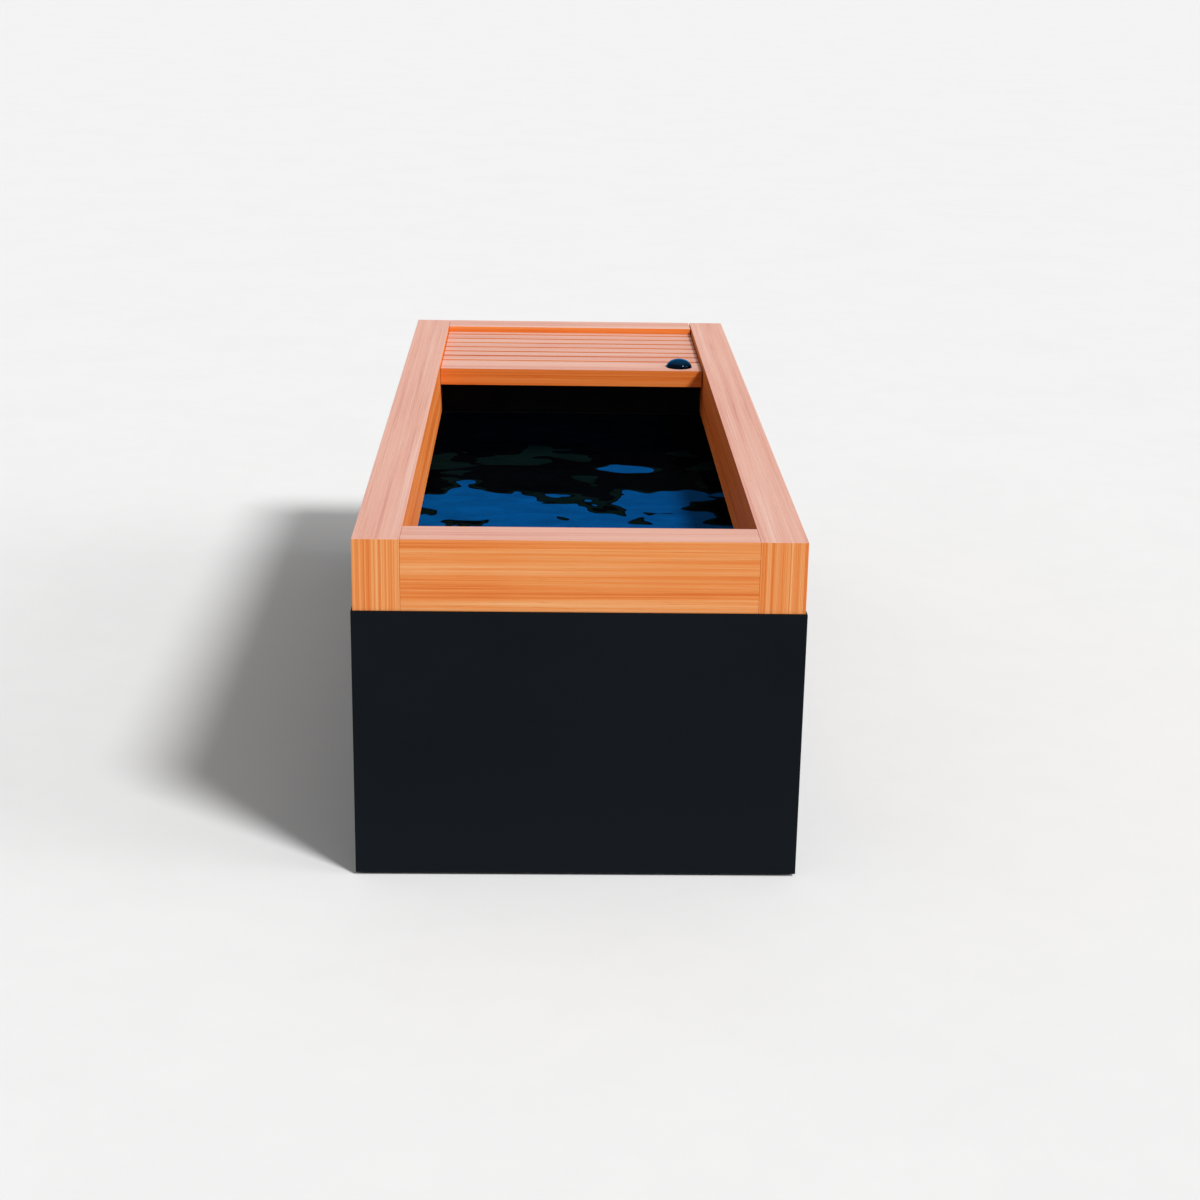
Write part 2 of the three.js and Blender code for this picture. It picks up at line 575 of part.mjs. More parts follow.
// Basin, foam and the fittings in the basin
function buildBasin() {
  const group = new THREE.Group();
  const flangeX = [-RIM_SIDE + FLANGE_MARGIN, RIM_SIDE - FLANGE_MARGIN];
  const flangeY = [RIM_FRONT + FLANGE_MARGIN, BULKHEAD_FRONT - SEAT_GAP];
  const above = block(centred(RIM_SIDE), [RIM_FRONT, RIM_REAR], [FLANGE_TOP, FLANGE_TOP + RIM_TOP]);
  const flange = block(flangeX, flangeY, [FLANGE_BOTTOM, FLANGE_TOP]);
  const shell = join(basinForm(BASIN_WALL, FLANGE_TOP), flange);
  const sumpHole = rod(SUMP_RADIUS + HOLE_CLEARANCE, BASE_TOP, BASIN_FLOOR + CUT_PAST);
  sumpHole.translate(0, DRAIN_Y, 0);
  const basin = cut(shell, basinForm(0, FLANGE_TOP), above, sumpHole, ...rearWallHoles());
  add(group, "basin", basin, LINER);

  const foamY = [RIM_FRONT, BULKHEAD_FRONT - SEAT_GAP];
  const foamBlock = block(centred(RIM_SIDE), foamY, [BAY_FLOOR, FLANGE_BOTTOM - SEAT_GAP]);
  const notches = SIDES.map(([, span]) => {
    const x = span(RIM_SIDE - POST_SIZE - SEAT_GAP, RIM_SIDE + CUT_PAST);
    const y = [RIM_FRONT - CUT_PAST, RIM_FRONT + POST_SIZE + SEAT_GAP];
    return block(x, y, [0, RIM_TOP]);
  });
  const hollow = basinForm(BASIN_WALL + SEAT_GAP, FLANGE_TOP);
  const foam = cut(foamBlock, hollow, ...notches, ...rearWallHoles(), sumpHole, drainChannel());
  add(group, "foam_jacket", foam, FOAM);

  const suction = add(group, "suction_fitting", suctionFitting(), BLACK_PLASTIC);
  suction.position.set(SUCTION_X, BASIN_REAR, SUCTION_Z);
  const seat = ball(EYEBALL_RADIUS + RUNNING_CLEARANCE).translate(0, EYEBALL_SINK, 0);
  const socket = cut(wallFitting(EYEBALL_SINK), seat);
  add(group, "return_socket", socket, BLACK_PLASTIC).position.set(RETURN_X, BASIN_REAR, RETURN_Z);
  const jet = rod(EYEBALL_BORE_RADIUS, -EYEBALL_RADIUS - CUT_PAST, EYEBALL_RADIUS + CUT_PAST, SMALL_SIDES);
  const eyeball = add(group, "return_eyeball", cut(ball(EYEBALL_RADIUS), alongY(jet)), GREY_PLASTIC);
  eyeball.position.set(RETURN_X, BASIN_REAR + EYEBALL_SINK, RETURN_Z);
  add(group, "drain_sump", drainSump(), BLACK_PLASTIC).position.set(0, DRAIN_Y, BASIN_FLOOR);
  return group;
}

// A flanged fitting through the rear wall: its flange is in the basin, its nut and spigot in the bay.
// It points along +Y from the basin's inner face, and its bore starts at the given depth.
function wallFitting(boreStart) {
  const face = -SEAT_GAP - FITTING_FLANGE_THICKNESS;
  const nut = REAR_WALL_DEPTH + SEAT_GAP;
  const shoulder = nut + FITTING_NUT_THICKNESS;
  const tip = shoulder + SPIGOT_LENGTH;
  const body = turned([
    [0, face],
    [FITTING_FLANGE_RADIUS, face],
    [FITTING_FLANGE_RADIUS, -SEAT_GAP],
    [FITTING_NECK_RADIUS, -SEAT_GAP],
    [FITTING_NECK_RADIUS, nut],
    [FITTING_NUT_RADIUS, nut],
    [FITTING_NUT_RADIUS, shoulder],
    [SPIGOT_RADIUS, shoulder],
    [SPIGOT_RADIUS, tip],
    [0, tip],
  ]);
  return alongY(cut(body, rod(SPIGOT_BORE_RADIUS, boreStart, tip + CUT_PAST)));
}

// The holes of a strainer plate, about +Z, from one level to another.
function strainerHoles(low, high) {
  const holes = [rod(STRAINER_HOLE_RADIUS, low, high, SMALL_SIDES)];
  for (let i = 0; i < STRAINER_HOLE_COUNT; i += 1) {
    const angle = (i / STRAINER_HOLE_COUNT) * Math.PI * 2;
    const x = STRAINER_HOLE_CIRCLE * Math.cos(angle);
    const y = STRAINER_HOLE_CIRCLE * Math.sin(angle);
    holes.push(rod(STRAINER_HOLE_RADIUS, low, high, SMALL_SIDES).translate(x, y, 0));
  }
  return holes;
}

function suctionFitting() {
  const face = -SEAT_GAP - FITTING_FLANGE_THICKNESS;
  const chamberStart = face + STRAINER_FACE;
  const chamberEnd = chamberStart + STRAINER_CHAMBER_DEPTH;
  const chamber = alongY(rod(STRAINER_CHAMBER_RADIUS, chamberStart, chamberEnd));
  const holes = strainerHoles(face - CUT_PAST, chamberStart + CUT_PAST).map(alongY);
  return cut(wallFitting(chamberEnd - CUT_PAST), chamber, ...holes);
}

// A strainer in the basin floor over a closed sump with a spigot towards the rear.
function drainSump() {
  const top = SEAT_GAP + FITTING_FLANGE_THICKNESS;
  const bottom = BASE_TOP + SUMP_CLEARANCE - BASIN_FLOOR;
  const pipe = DRAIN_Z - BASIN_FLOOR;
  const chamberTop = top - STRAINER_FACE;
  const tip = SUMP_RADIUS + SPIGOT_LENGTH;
  const body = turned([
    [0, bottom],
    [SUMP_RADIUS, bottom],
    [SUMP_RADIUS, SEAT_GAP],
    [FITTING_FLANGE_RADIUS, SEAT_GAP],
    [FITTING_FLANGE_RADIUS, top],
    [0, top],
  ]);
  const spigot = alongY(rod(SPIGOT_RADIUS, SUMP_RADIUS - SUMP_WALL, tip)).translate(0, 0, pipe);
  const bore = alongY(rod(SPIGOT_BORE_RADIUS, 0, tip + CUT_PAST)).translate(0, 0, pipe);
  const chamber = rod(SUMP_RADIUS - SUMP_WALL, bottom + SUMP_WALL, chamberTop);
  const holes = strainerHoles(chamberTop - CUT_PAST, top + CUT_PAST);
  return cut(join(body, spigot), chamber, bore, ...holes);
}

// Timber rim: the front rail is butted between the side rails, and the cross timbers stand clear of them
function buildRim() {
  const rim = new THREE.Group();
  const height = [BODY_TOP, RIM_TOP];
  for (const [side, span] of SIDES) {
    add(rim, `${side}_rail`, block(span(WELL_SIDE, RIM_SIDE), [RIM_FRONT, RIM_REAR], height), CEDAR);
  }
  const frontX = centred(WELL_SIDE - SEAT_GAP);
  const deckX = [-WELL_SIDE + DECK_LEFT_GAP, WELL_SIDE - DECK_RIGHT_GAP];
  add(rim, "front_rail", block(frontX, [RIM_FRONT, WELL_FRONT], height), CEDAR);
  add(rim, "rear_rail", block(deckX, [REAR_RAIL_FRONT, RIM_REAR], height), CEDAR);

  const header = block(deckX, [HEADER_FRONT, BAY_FRONT], [HEADER_BOTTOM, DECK_TOP]);
  const counterbore = rod(DOME_RADIUS + DOME_CLEARANCE, -COUNTERBORE_DEPTH, CUT_PAST);
  const pocket = rod(HOUSING_RADIUS + SEAT_GAP, HOUSING_BOTTOM - SEAT_GAP, 0);
  const airHole = alongY(rod(AIR_TUBE_RADIUS + HOLE_CLEARANCE, 0, HEADER_DEPTH, SMALL_SIDES));
  airHole.translate(0, 0, AIR_PORT);
  const cuts = [counterbore, pocket, airHole].map((tool) => tool.translate(BUTTON_X, BUTTON_Y, DECK_TOP));
  add(rim, "header", cut(header, ...cuts), CEDAR);

  const cleatTop = SLAT_BOTTOM - SEAT_GAP;
  const cleatY = [BAY_FRONT + SEAT_GAP, REAR_RAIL_FRONT - SEAT_GAP];
  for (const [side, span] of SIDES) {
    const x = span(WELL_SIDE - SEAT_GAP - CLEAT_WIDTH, WELL_SIDE - SEAT_GAP);
    add(rim, `${side}_cleat`, block(x, cleatY, [cleatTop - CLEAT_HEIGHT, cleatTop]), SOFTWOOD);
  }
  return rim;
}

// Lid: slats across the bay on two battens
function buildLid() {
  const lid = new THREE.Group();
  const x = [-WELL_SIDE + DECK_LEFT_GAP, WELL_SIDE - DECK_RIGHT_GAP];
  const z = [SLAT_BOTTOM, DECK_TOP];
  for (let i = 0; i < SLAT_COUNT; i += 1) {
    const front = LID_FRONT + i * SLAT_PITCH;
    add(lid, `slat_${i + 1}`, block(x, [front, front + SLAT_WIDTH], z), CEDAR);
  }
  add(lid, "rear_slat", block(x, [LID_REAR - REAR_SLAT_WIDTH, LID_REAR], z), CEDAR);
  const battenZ = [SLAT_BOTTOM - SEAT_GAP - BATTEN_THICKNESS, SLAT_BOTTOM - SEAT_GAP];
  for (const [side, span] of SIDES) {
    const battenX = span((BATTEN_SPACING - BATTEN_WIDTH) / 2, (BATTEN_SPACING + BATTEN_WIDTH) / 2);
    add(lid, `${side}_batten`, block(battenX, [LID_FRONT, LID_REAR], battenZ), SOFTWOOD);
  }
  return lid;
}

// Push button: a dome on a stem whose foot is held under the housing's lip, with a spring below it
function buildButton() {
  const button = new THREE.Group();
  button.position.set(BUTTON_X, BUTTON_Y, DECK_TOP);
  const innerRadius = DOME_RADIUS - DOME_WALL;
  const innerRise = DOME_RISE - DOME_WALL;
  const ceiling = innerRise * Math.sqrt(1 - (BUTTON_STEM_RADIUS / innerRadius) ** 2);
  const inner = crown(innerRadius, innerRise, DOME_STEPS).filter(([radius]) => radius > BUTTON_STEM_RADIUS);
  const dome = turned([
    [0, FOOT_BOTTOM],
    [BUTTON_FOOT_RADIUS, FOOT_BOTTOM],
    [BUTTON_FOOT_RADIUS, FOOT_TOP],
    [BUTTON_STEM_RADIUS, FOOT_TOP],
    [BUTTON_STEM_RADIUS, ceiling],
    ...inner.reverse(),
    [innerRadius, -DOME_SKIRT],
    [DOME_RADIUS, -DOME_SKIRT],
    ...crown(DOME_RADIUS, DOME_RISE, DOME_STEPS),
  ]);
  add(button, "button_dome", dome, BLACK_GLOSS);

  const flangeBottom = SEAT_GAP - COUNTERBORE_DEPTH;
  const flangeTop = flangeBottom + HOUSING_FLANGE_THICKNESS;
  const lipRadius = BUTTON_STEM_RADIUS + RUNNING_CLEARANCE;
  const shell = turned([
    [0, HOUSING_BOTTOM],
    [HOUSING_RADIUS, HOUSING_BOTTOM],
    [HOUSING_RADIUS, flangeBottom],
    [HOUSING_FLANGE_RADIUS, flangeBottom],
    [HOUSING_FLANGE_RADIUS, flangeTop],
    [lipRadius, flangeTop],
    [lipRadius, flangeBottom],
    [HOUSING_CAVITY_RADIUS, flangeBottom],
    [HOUSING_CAVITY_RADIUS, HOUSING_FLOOR],
    [0, HOUSING_FLOOR],
  ]);
  const port = alongY(rod(AIR_TUBE_RADIUS / 2, 0, HOUSING_RADIUS + CUT_PAST, SMALL_SIDES));
  port.translate(0, 0, AIR_PORT);
  add(button, "button_housing", cut(shell, port), BLACK_PLASTIC);
  add(button, "button_spring", buttonSpring(), SPRING_STEEL);
  add(button, "button_tube", airTube(), HOSE_RUBBER);
  return button;
}

// A helix between the housing's floor and the stem's foot.
class Helix extends THREE.Curve {
  constructor(radius, low, high, turns) {
    super();
    Object.assign(this, { radius, low, high, turns });
  }
  getPoint(t, target = new THREE.Vector3()) {
    const angle = t * this.turns * Math.PI * 2;
    const height = this.low + t * (this.high - this.low);
    return target.set(this.radius * Math.cos(angle), this.radius * Math.sin(angle), height);
  }
}

function buttonSpring() {
  const margin = SPRING_WIRE_RADIUS + SEAT_GAP;
  const helix = new Helix(SPRING_RADIUS, HOUSING_FLOOR + margin, FOOT_BOTTOM - margin, SPRING_TURNS);
  return wireAlong(helix, SPRING_WIRE_RADIUS, SPRING_TURNS * SPRING_STEPS_PER_TURN, SMALL_SIDES / 2);
}

// The air tube runs back through the header, drops under the lid and comes down on the control box.
function airTube() {
  const out = BAY_FRONT - BUTTON_Y;
  const point = (x, y, z) => new THREE.Vector3(x, y, z);
  const start = point(0, HOUSING_RADIUS + 2 * SEAT_GAP, AIR_PORT);
  const bend = point(0, out + EQUIPMENT_MARGIN, AIR_PORT);
  const turn = point(0, out + EQUIPMENT_MARGIN + AIR_TUBE_SWEEP, AIR_PORT - AIR_TUBE_DROP);
  const boxTop = CONTROL_BOTTOM + CONTROL_HEIGHT - DECK_TOP;
  const end = point(CONTROL_X - BUTTON_X, CONTROL_Y - BUTTON_Y, boxTop + SEAT_GAP);
  const fall = (turn.z - end.z) / 2;
  const route = new THREE.CurvePath();
  route.add(new THREE.LineCurve3(start, bend));
  route.add(new THREE.CubicBezierCurve3(bend, point(0, turn.y, bend.z), point(0, turn.y, bend.z), turn));
  const low = point(turn.x, turn.y, turn.z - fall);
  const high = point(end.x, end.y, end.z + fall);
  route.add(new THREE.CubicBezierCurve3(turn, low, high, end));
  return wireAlong(route, AIR_TUBE_RADIUS, AIR_TUBE_STEPS, SMALL_SIDES / 2);
}

// Chiller: compressor, heat exchanger, condenser, fan and vent grille
function buildChiller() {
  const chiller = new THREE.Group();
  const compressor = add(chiller, "compressor", compressorShape(), BLACK_STEEL);
  compressor.position.set(COMPRESSOR_X, COMPRESSOR_Y, BAY_FLOOR);
  const exchanger = add(chiller, "heat_exchanger", exchangerShape(), WHITE_PLASTIC);
  exchanger.position.set(EXCHANGER_X, EXCHANGER_Y, BAY_FLOOR);
  const condenser = add(chiller, "condenser", condenserShape(), ALUMINIUM);
  condenser.position.set(CONDENSER_X, CONDENSER_REAR, BAY_FLOOR);
  const fan = new THREE.Group();
  fan.position.set(CONDENSER_X, SHROUD_Y, CONDENSER_Z);
  add(fan, "fan_shroud", shroudShape(), BLACK_STEEL);
  add(fan, "fan_rotor", rotorShape(), BLACK_PLASTIC);
  chiller.add(fan);
  const grille = add(chiller, "vent_grille", grilleShape(), BLACK_STEEL);
  grille.position.set(CONDENSER_X, BAY_REAR - VENT_PLATE, CONDENSER_Z);
  return chiller;
}

function compressorShape() {
  const foot = COMPRESSOR_PLATE / 2;
  const plate = block(centred(foot), centred(foot), [0, COMPRESSOR_PLATE_THICKNESS]);
  const shoulder = COMPRESSOR_HEIGHT - COMPRESSOR_CROWN;
  const can = turned([
    [0, LAP],
    [COMPRESSOR_RADIUS, LAP],
    ...crown(COMPRESSOR_RADIUS, COMPRESSOR_CROWN, DOME_STEPS / 2, shoulder),
  ]);
  return join(plate, can);
}

function exchangerShape() {
  const shoulder = EXCHANGER_HEIGHT - EXCHANGER_CROWN;
  const tip = EXCHANGER_RADIUS + SPIGOT_LENGTH;
  const top = EXCHANGER_HEIGHT + SPIGOT_LENGTH;
  const tank = turned([
    [0, 0],
    [EXCHANGER_RADIUS, 0],
    ...crown(EXCHANGER_RADIUS, EXCHANGER_CROWN, DOME_STEPS / 2, shoulder),
  ]);
  const inlet = alongX(rod(SPIGOT_RADIUS, 0, tip));
  const inletBore = alongX(rod(SPIGOT_BORE_RADIUS, 0, tip + CUT_PAST));
  inlet.translate(0, 0, EXCHANGER_INLET_HEIGHT);
  inletBore.translate(0, 0, EXCHANGER_INLET_HEIGHT);
  const outlet = rod(SPIGOT_RADIUS, EXCHANGER_INLET_HEIGHT, top);
  const outletBore = rod(SPIGOT_BORE_RADIUS, EXCHANGER_INLET_HEIGHT, top + CUT_PAST);
  return cut(join(tank, inlet, outlet), inletBore, outletBore);
}

// A finned block: the fins stand towards the front, and the rear face is flat.
function condenserShape() {
  const half = CONDENSER_SIZE / 2;
  const fin = CONDENSER_SIZE / (2 * CONDENSER_FINS - 1);
  const tip = -CONDENSER_DEPTH;
  const root = tip + CONDENSER_FIN_DEPTH;
  const fins = [];
  for (let i = 0; i < CONDENSER_FINS; i += 1) {
    const left = -half + 2 * i * fin;
    fins.push([left, root], [left, tip], [left + fin, tip], [left + fin, root]);
  }
  const outline = [[half, 0], [-half, 0], ...fins.slice(1, -1)];
  const shape = new THREE.Shape(outline.map(([x, y]) => new THREE.Vector2(x, y)));
  return new THREE.ExtrudeGeometry(shape, { depth: CONDENSER_SIZE, bevelEnabled: false });
}

// A square plate with a round collar behind it, and bars across the front that carry the motor.
function shroudShape() {
  const half = CONDENSER_SIZE / 2;
  const throat = FAN_RADIUS + FAN_TIP_CLEARANCE;
  const plate = block(centred(half), [0, SHROUD_PLATE], centred(half));
  const collar = alongY(rod(throat + SHROUD_COLLAR_WALL, 0, SHROUD_COLLAR_DEPTH));
  const opening = alongY(rod(throat, -CUT_PAST, SHROUD_COLLAR_DEPTH + CUT_PAST));
  const ring = cut(join(plate, collar), opening);
  const barDepth = [-SHROUD_BAR_DEPTH, LAP];
  const bars = [
    block(centred(half), barDepth, centred(SHROUD_BAR_WIDTH / 2)),
    block(centred(SHROUD_BAR_WIDTH / 2), barDepth, centred(half)),
  ];
  const motor = alongY(rod(FAN_MOTOR_RADIUS, -FAN_MOTOR_LENGTH, 0));
  const holeEnds = [-FAN_SHAFT_LENGTH - LAP, LAP + CUT_PAST];
  const shaftHole = rod(FAN_SHAFT_RADIUS + RUNNING_CLEARANCE, ...holeEnds, SMALL_SIDES);
  return cut(join(ring, ...bars, motor), alongY(shaftHole));
}

function rotorShape() {
  const front = FAN_END_CLEARANCE;
  const back = SHROUD_COLLAR_DEPTH - FAN_END_CLEARANCE;
  const middle = (front + back) / 2;
  const hub = alongY(rod(FAN_HUB_RADIUS, front, back));
  const shaft = alongY(rod(FAN_SHAFT_RADIUS, -FAN_SHAFT_LENGTH, front + LAP, SMALL_SIDES));
  const pitch = THREE.MathUtils.degToRad(FAN_BLADE_PITCH);
  const length = FAN_RADIUS - FAN_HUB_RADIUS + LAP;
  const blades = Array.from({ length: FAN_BLADES }, (_, i) => {
    const blade = new THREE.BoxGeometry(length, FAN_BLADE_THICKNESS, FAN_BLADE_CHORD);
    blade.rotateX(pitch).translate(FAN_HUB_RADIUS - LAP + length / 2, 0, 0);
    return blade.rotateY((i / FAN_BLADES) * Math.PI * 2).translate(0, middle, 0);
  });
  const sweep = alongY(rod(FAN_RADIUS, front, back));
  const wheel = solid(join(hub, ...blades)).intersect(solid(sweep));
  return join(geometryOf(wheel), shaft);
}

function grilleShape() {
  const half = VENT_SIZE / 2 + VENT_LIP;
  const plate = block(centred(half), [0, VENT_PLATE], centred(half));
  const pitch = VENT_SIZE / VENT_SLOTS;
  const slots = Array.from({ length: VENT_SLOTS }, (_, i) => {
    const z = (i + 0.5) * pitch - VENT_SIZE / 2;
    const x = centred(VENT_SIZE / 2 - VENT_LIP);
    const y = [-CUT_PAST, VENT_PLATE + CUT_PAST];
    return block(x, y, centred(VENT_SLOT_HEIGHT / 2)).translate(0, 0, z);
  });
  return cut(plate, ...slots);
}

// Water loop: pump, filter and the hoses between the fittings
function buildWaterLoop() {
  const loop = new THREE.Group();
  const pump = new THREE.Group();
  pump.position.set(PUMP_BACK, PUMP_Y, PUMP_Z);
  add(pump, "pump_casing", pumpCasing(), BLACK_PLASTIC);
  add(pump, "pump_motor", pumpMotor(), BLACK_STEEL);
  add(pump, "pump_impeller", pumpImpeller(), GREY_PLASTIC);
  const filter = new THREE.Group();
  filter.position.set(FILTER_X, FILTER_Y, BAY_FLOOR);
  add(filter, "filter_housing", filterHousing(), WHITE_PLASTIC);
  add(filter, "filter_cap", filterCap(), BLACK_PLASTIC);
  add(filter, "filter_cartridge", filterCartridge(), PLEATED_PAPER);
  loop.add(pump, filter);

  const point = (x, y, z) => new THREE.Vector3(x, y, z);
  const [left, right] = [point(-1, 0, 0), point(1, 0, 0)];
  const [forward, rearward, up] = [point(0, -1, 0), point(0, 1, 0), point(0, 0, 1)];
  const tailY = BAY_FRONT + SEAT_GAP + FITTING_NUT_THICKNESS + SPIGOT_LENGTH;
  const suction = point(SUCTION_X, tailY, SUCTION_Z);
  const pumpInlet = point(PUMP_FACE - SPIGOT_LENGTH, PUMP_Y, PUMP_Z);
  const discharge = point(PUMP_BACK - PUMP_CAVITY_DEPTH / 2, PUMP_Y, PUMP_Z + PUMP_RADIUS + SPIGOT_LENGTH);
  const filterTip = FILTER_RADIUS + SPIGOT_LENGTH;
  const filterInlet = point(FILTER_X, FILTER_Y - filterTip, BAY_FLOOR + FILTER_INLET_HEIGHT);
  const filterOutlet = point(FILTER_X - filterTip, FILTER_Y, BAY_FLOOR + FILTER_OUTLET_HEIGHT);
  const exchangerTip = EXCHANGER_X + EXCHANGER_RADIUS + SPIGOT_LENGTH;
  const exchangerInlet = point(exchangerTip, EXCHANGER_Y, BAY_FLOOR + EXCHANGER_INLET_HEIGHT);
  const exchangerOutlet = point(EXCHANGER_X, EXCHANGER_Y, BAY_FLOOR + EXCHANGER_HEIGHT + SPIGOT_LENGTH);
  const returnTail = point(RETURN_X, tailY, RETURN_Z);
  add(loop, "suction_hose", hoseBetween(suction, rearward, pumpInlet, left), HOSE_RUBBER);
  add(loop, "filter_hose", hoseBetween(discharge, up, filterInlet, forward), HOSE_RUBBER);
  add(loop, "chiller_hose", hoseBetween(filterOutlet, left, exchangerInlet, right), HOSE_RUBBER);
  add(loop, "return_hose", hoseBetween(exchangerOutlet, up, returnTail, rearward), HOSE_RUBBER);
  return loop;
}

// The casing is open towards the motor. Its inlet points to the left and its discharge up.
function pumpCasing() {
  const inletTip = -PUMP_CASING_DEPTH - SPIGOT_LENGTH;
  const dischargeX = -PUMP_CAVITY_DEPTH / 2;
  const dischargeTip = PUMP_RADIUS + SPIGOT_LENGTH;
  const body = alongX(rod(PUMP_RADIUS, -PUMP_CASING_DEPTH, 0));
  const inlet = alongX(rod(SPIGOT_RADIUS, inletTip, -PUMP_CASING_DEPTH + LAP));
  const discharge = rod(SPIGOT_RADIUS, PUMP_CAVITY_RADIUS, dischargeTip).translate(dischargeX, 0, 0);
  const cavity = alongX(rod(PUMP_CAVITY_RADIUS, -PUMP_CAVITY_DEPTH, CUT_PAST));
  const inletBore = alongX(rod(SPIGOT_BORE_RADIUS, inletTip - CUT_PAST, -PUMP_CAVITY_DEPTH + CUT_PAST));
  const dischargeBore = rod(SPIGOT_BORE_RADIUS, 0, dischargeTip + CUT_PAST).translate(dischargeX, 0, 0);
  return cut(join(body, inlet, discharge), cavity, inletBore, dischargeBore);
}

function pumpMotor() {
  const plateEnd = SEAT_GAP + PUMP_BACK_PLATE;
  const end = plateEnd + PUMP_MOTOR_LENGTH;
  const plate = alongX(rod(PUMP_RADIUS, SEAT_GAP, plateEnd));
  const can = alongX(rod(PUMP_MOTOR_RADIUS, plateEnd - LAP, end));
  const footX = [plateEnd + EQUIPMENT_MARGIN, plateEnd + EQUIPMENT_MARGIN + PUMP_FOOT_LENGTH];
  const footZ = [-PUMP_AXIS_HEIGHT, PUMP_FOOT_RISE - PUMP_AXIS_HEIGHT];
  const foot = block(footX, centred(PUMP_FOOT_WIDTH / 2), footZ);
  const shaftEnd = IMPELLER_SHAFT_LENGTH + LAP;
  const shaftHole = rod(IMPELLER_SHAFT_RADIUS + RUNNING_CLEARANCE, -CUT_PAST, shaftEnd, SMALL_SIDES);
  return cut(join(plate, can, foot), alongX(shaftHole));
}

function pumpImpeller() {
  const back = -IMPELLER_BACK_GAP;
  const disc = alongX(rod(IMPELLER_RADIUS, back - IMPELLER_DISC, back));
  const shaft = alongX(rod(IMPELLER_SHAFT_RADIUS, back - LAP, IMPELLER_SHAFT_LENGTH, SMALL_SIDES));
  const vaneX = [back - IMPELLER_DISC - IMPELLER_VANE_HEIGHT, back - LAP];
  const vanes = Array.from({ length: IMPELLER_VANES }, (_, i) => {
    const vaneZ = [IMPELLER_EYE_RADIUS, IMPELLER_RADIUS - LAP];
    const vane = block(vaneX, centred(IMPELLER_VANE_THICKNESS / 2), vaneZ);
    return vane.rotateX((i / IMPELLER_VANES) * Math.PI * 2);
  });
  return join(disc, shaft, ...vanes);
}

// An open cup with a collar at the top, an inlet towards the front and an outlet towards the left.
function filterHousing() {
  const innerRadius = FILTER_RADIUS - FILTER_WALL;
  const collarBottom = FILTER_HEIGHT - FILTER_COLLAR_HEIGHT;
  const cup = turned([
    [0, 0],
    [FILTER_RADIUS, 0],
    [FILTER_RADIUS, collarBottom],
    [COLLAR_RADIUS, collarBottom],
    [COLLAR_RADIUS, FILTER_HEIGHT],
    [innerRadius, FILTER_HEIGHT],
    [innerRadius, FILTER_WALL],
    [0, FILTER_WALL],
  ]);
  const tip = FILTER_RADIUS + SPIGOT_LENGTH;
  const root = FILTER_RADIUS - FILTER_WALL / 2;
  const boreRoot = innerRadius - FILTER_WALL;
  const inlet = (geometry) => alongY(geometry).translate(0, 0, FILTER_INLET_HEIGHT);
  const outlet = (geometry) => alongX(geometry).translate(0, 0, FILTER_OUTLET_HEIGHT);
  const ports = [inlet, outlet].map((place) => place(rod(SPIGOT_RADIUS, -tip, -root)));
  const bores = [inlet, outlet].map((place) => place(rod(SPIGOT_BORE_RADIUS, -tip - CUT_PAST, -boreRoot)));
  return cut(join(cup, ...ports), ...bores);
}

// A skirted lid with a grip bar.
function filterCap() {
  const bottom = FILTER_HEIGHT + SEAT_GAP;
  const top = bottom + CAP_TOP;
  const skirt = FILTER_HEIGHT - FILTER_COLLAR_HEIGHT + SEAT_GAP;
  const innerRadius = COLLAR_RADIUS + CAP_CLEARANCE;
  const lid = turned([
    [0, bottom],
    [innerRadius, bottom],
    [innerRadius, skirt],
    [CAP_RADIUS, skirt],
    [CAP_RADIUS, top],
    [0, top],
  ]);
  const gripZ = [top - LAP, top + CAP_GRIP_HEIGHT];
  const grip = block(centred(CAP_GRIP_LENGTH / 2), centred(CAP_GRIP_WIDTH / 2), gripZ);
  return join(lid, grip);
}

function filterCartridge() {
  const outline = new THREE.Shape();
  for (let i = 0; i < 2 * CARTRIDGE_PLEATS; i += 1) {
    const radius = i % 2 ? CARTRIDGE_RADIUS - CARTRIDGE_PLEAT_DEPTH : CARTRIDGE_RADIUS;
    const angle = (i / CARTRIDGE_PLEATS) * Math.PI;
    outline[i ? "lineTo" : "moveTo"](radius * Math.cos(angle), radius * Math.sin(angle));
  }
  outline.holes.push(new THREE.Path().absarc(0, 0, CARTRIDGE_BORE_RADIUS, 0, Math.PI * 2, true));
  const options = { depth: CARTRIDGE_HEIGHT, bevelEnabled: false, curveSegments: SMALL_SIDES / 2 };
  return new THREE.ExtrudeGeometry(outline, options).translate(0, 0, FILTER_WALL + SEAT_GAP);
}

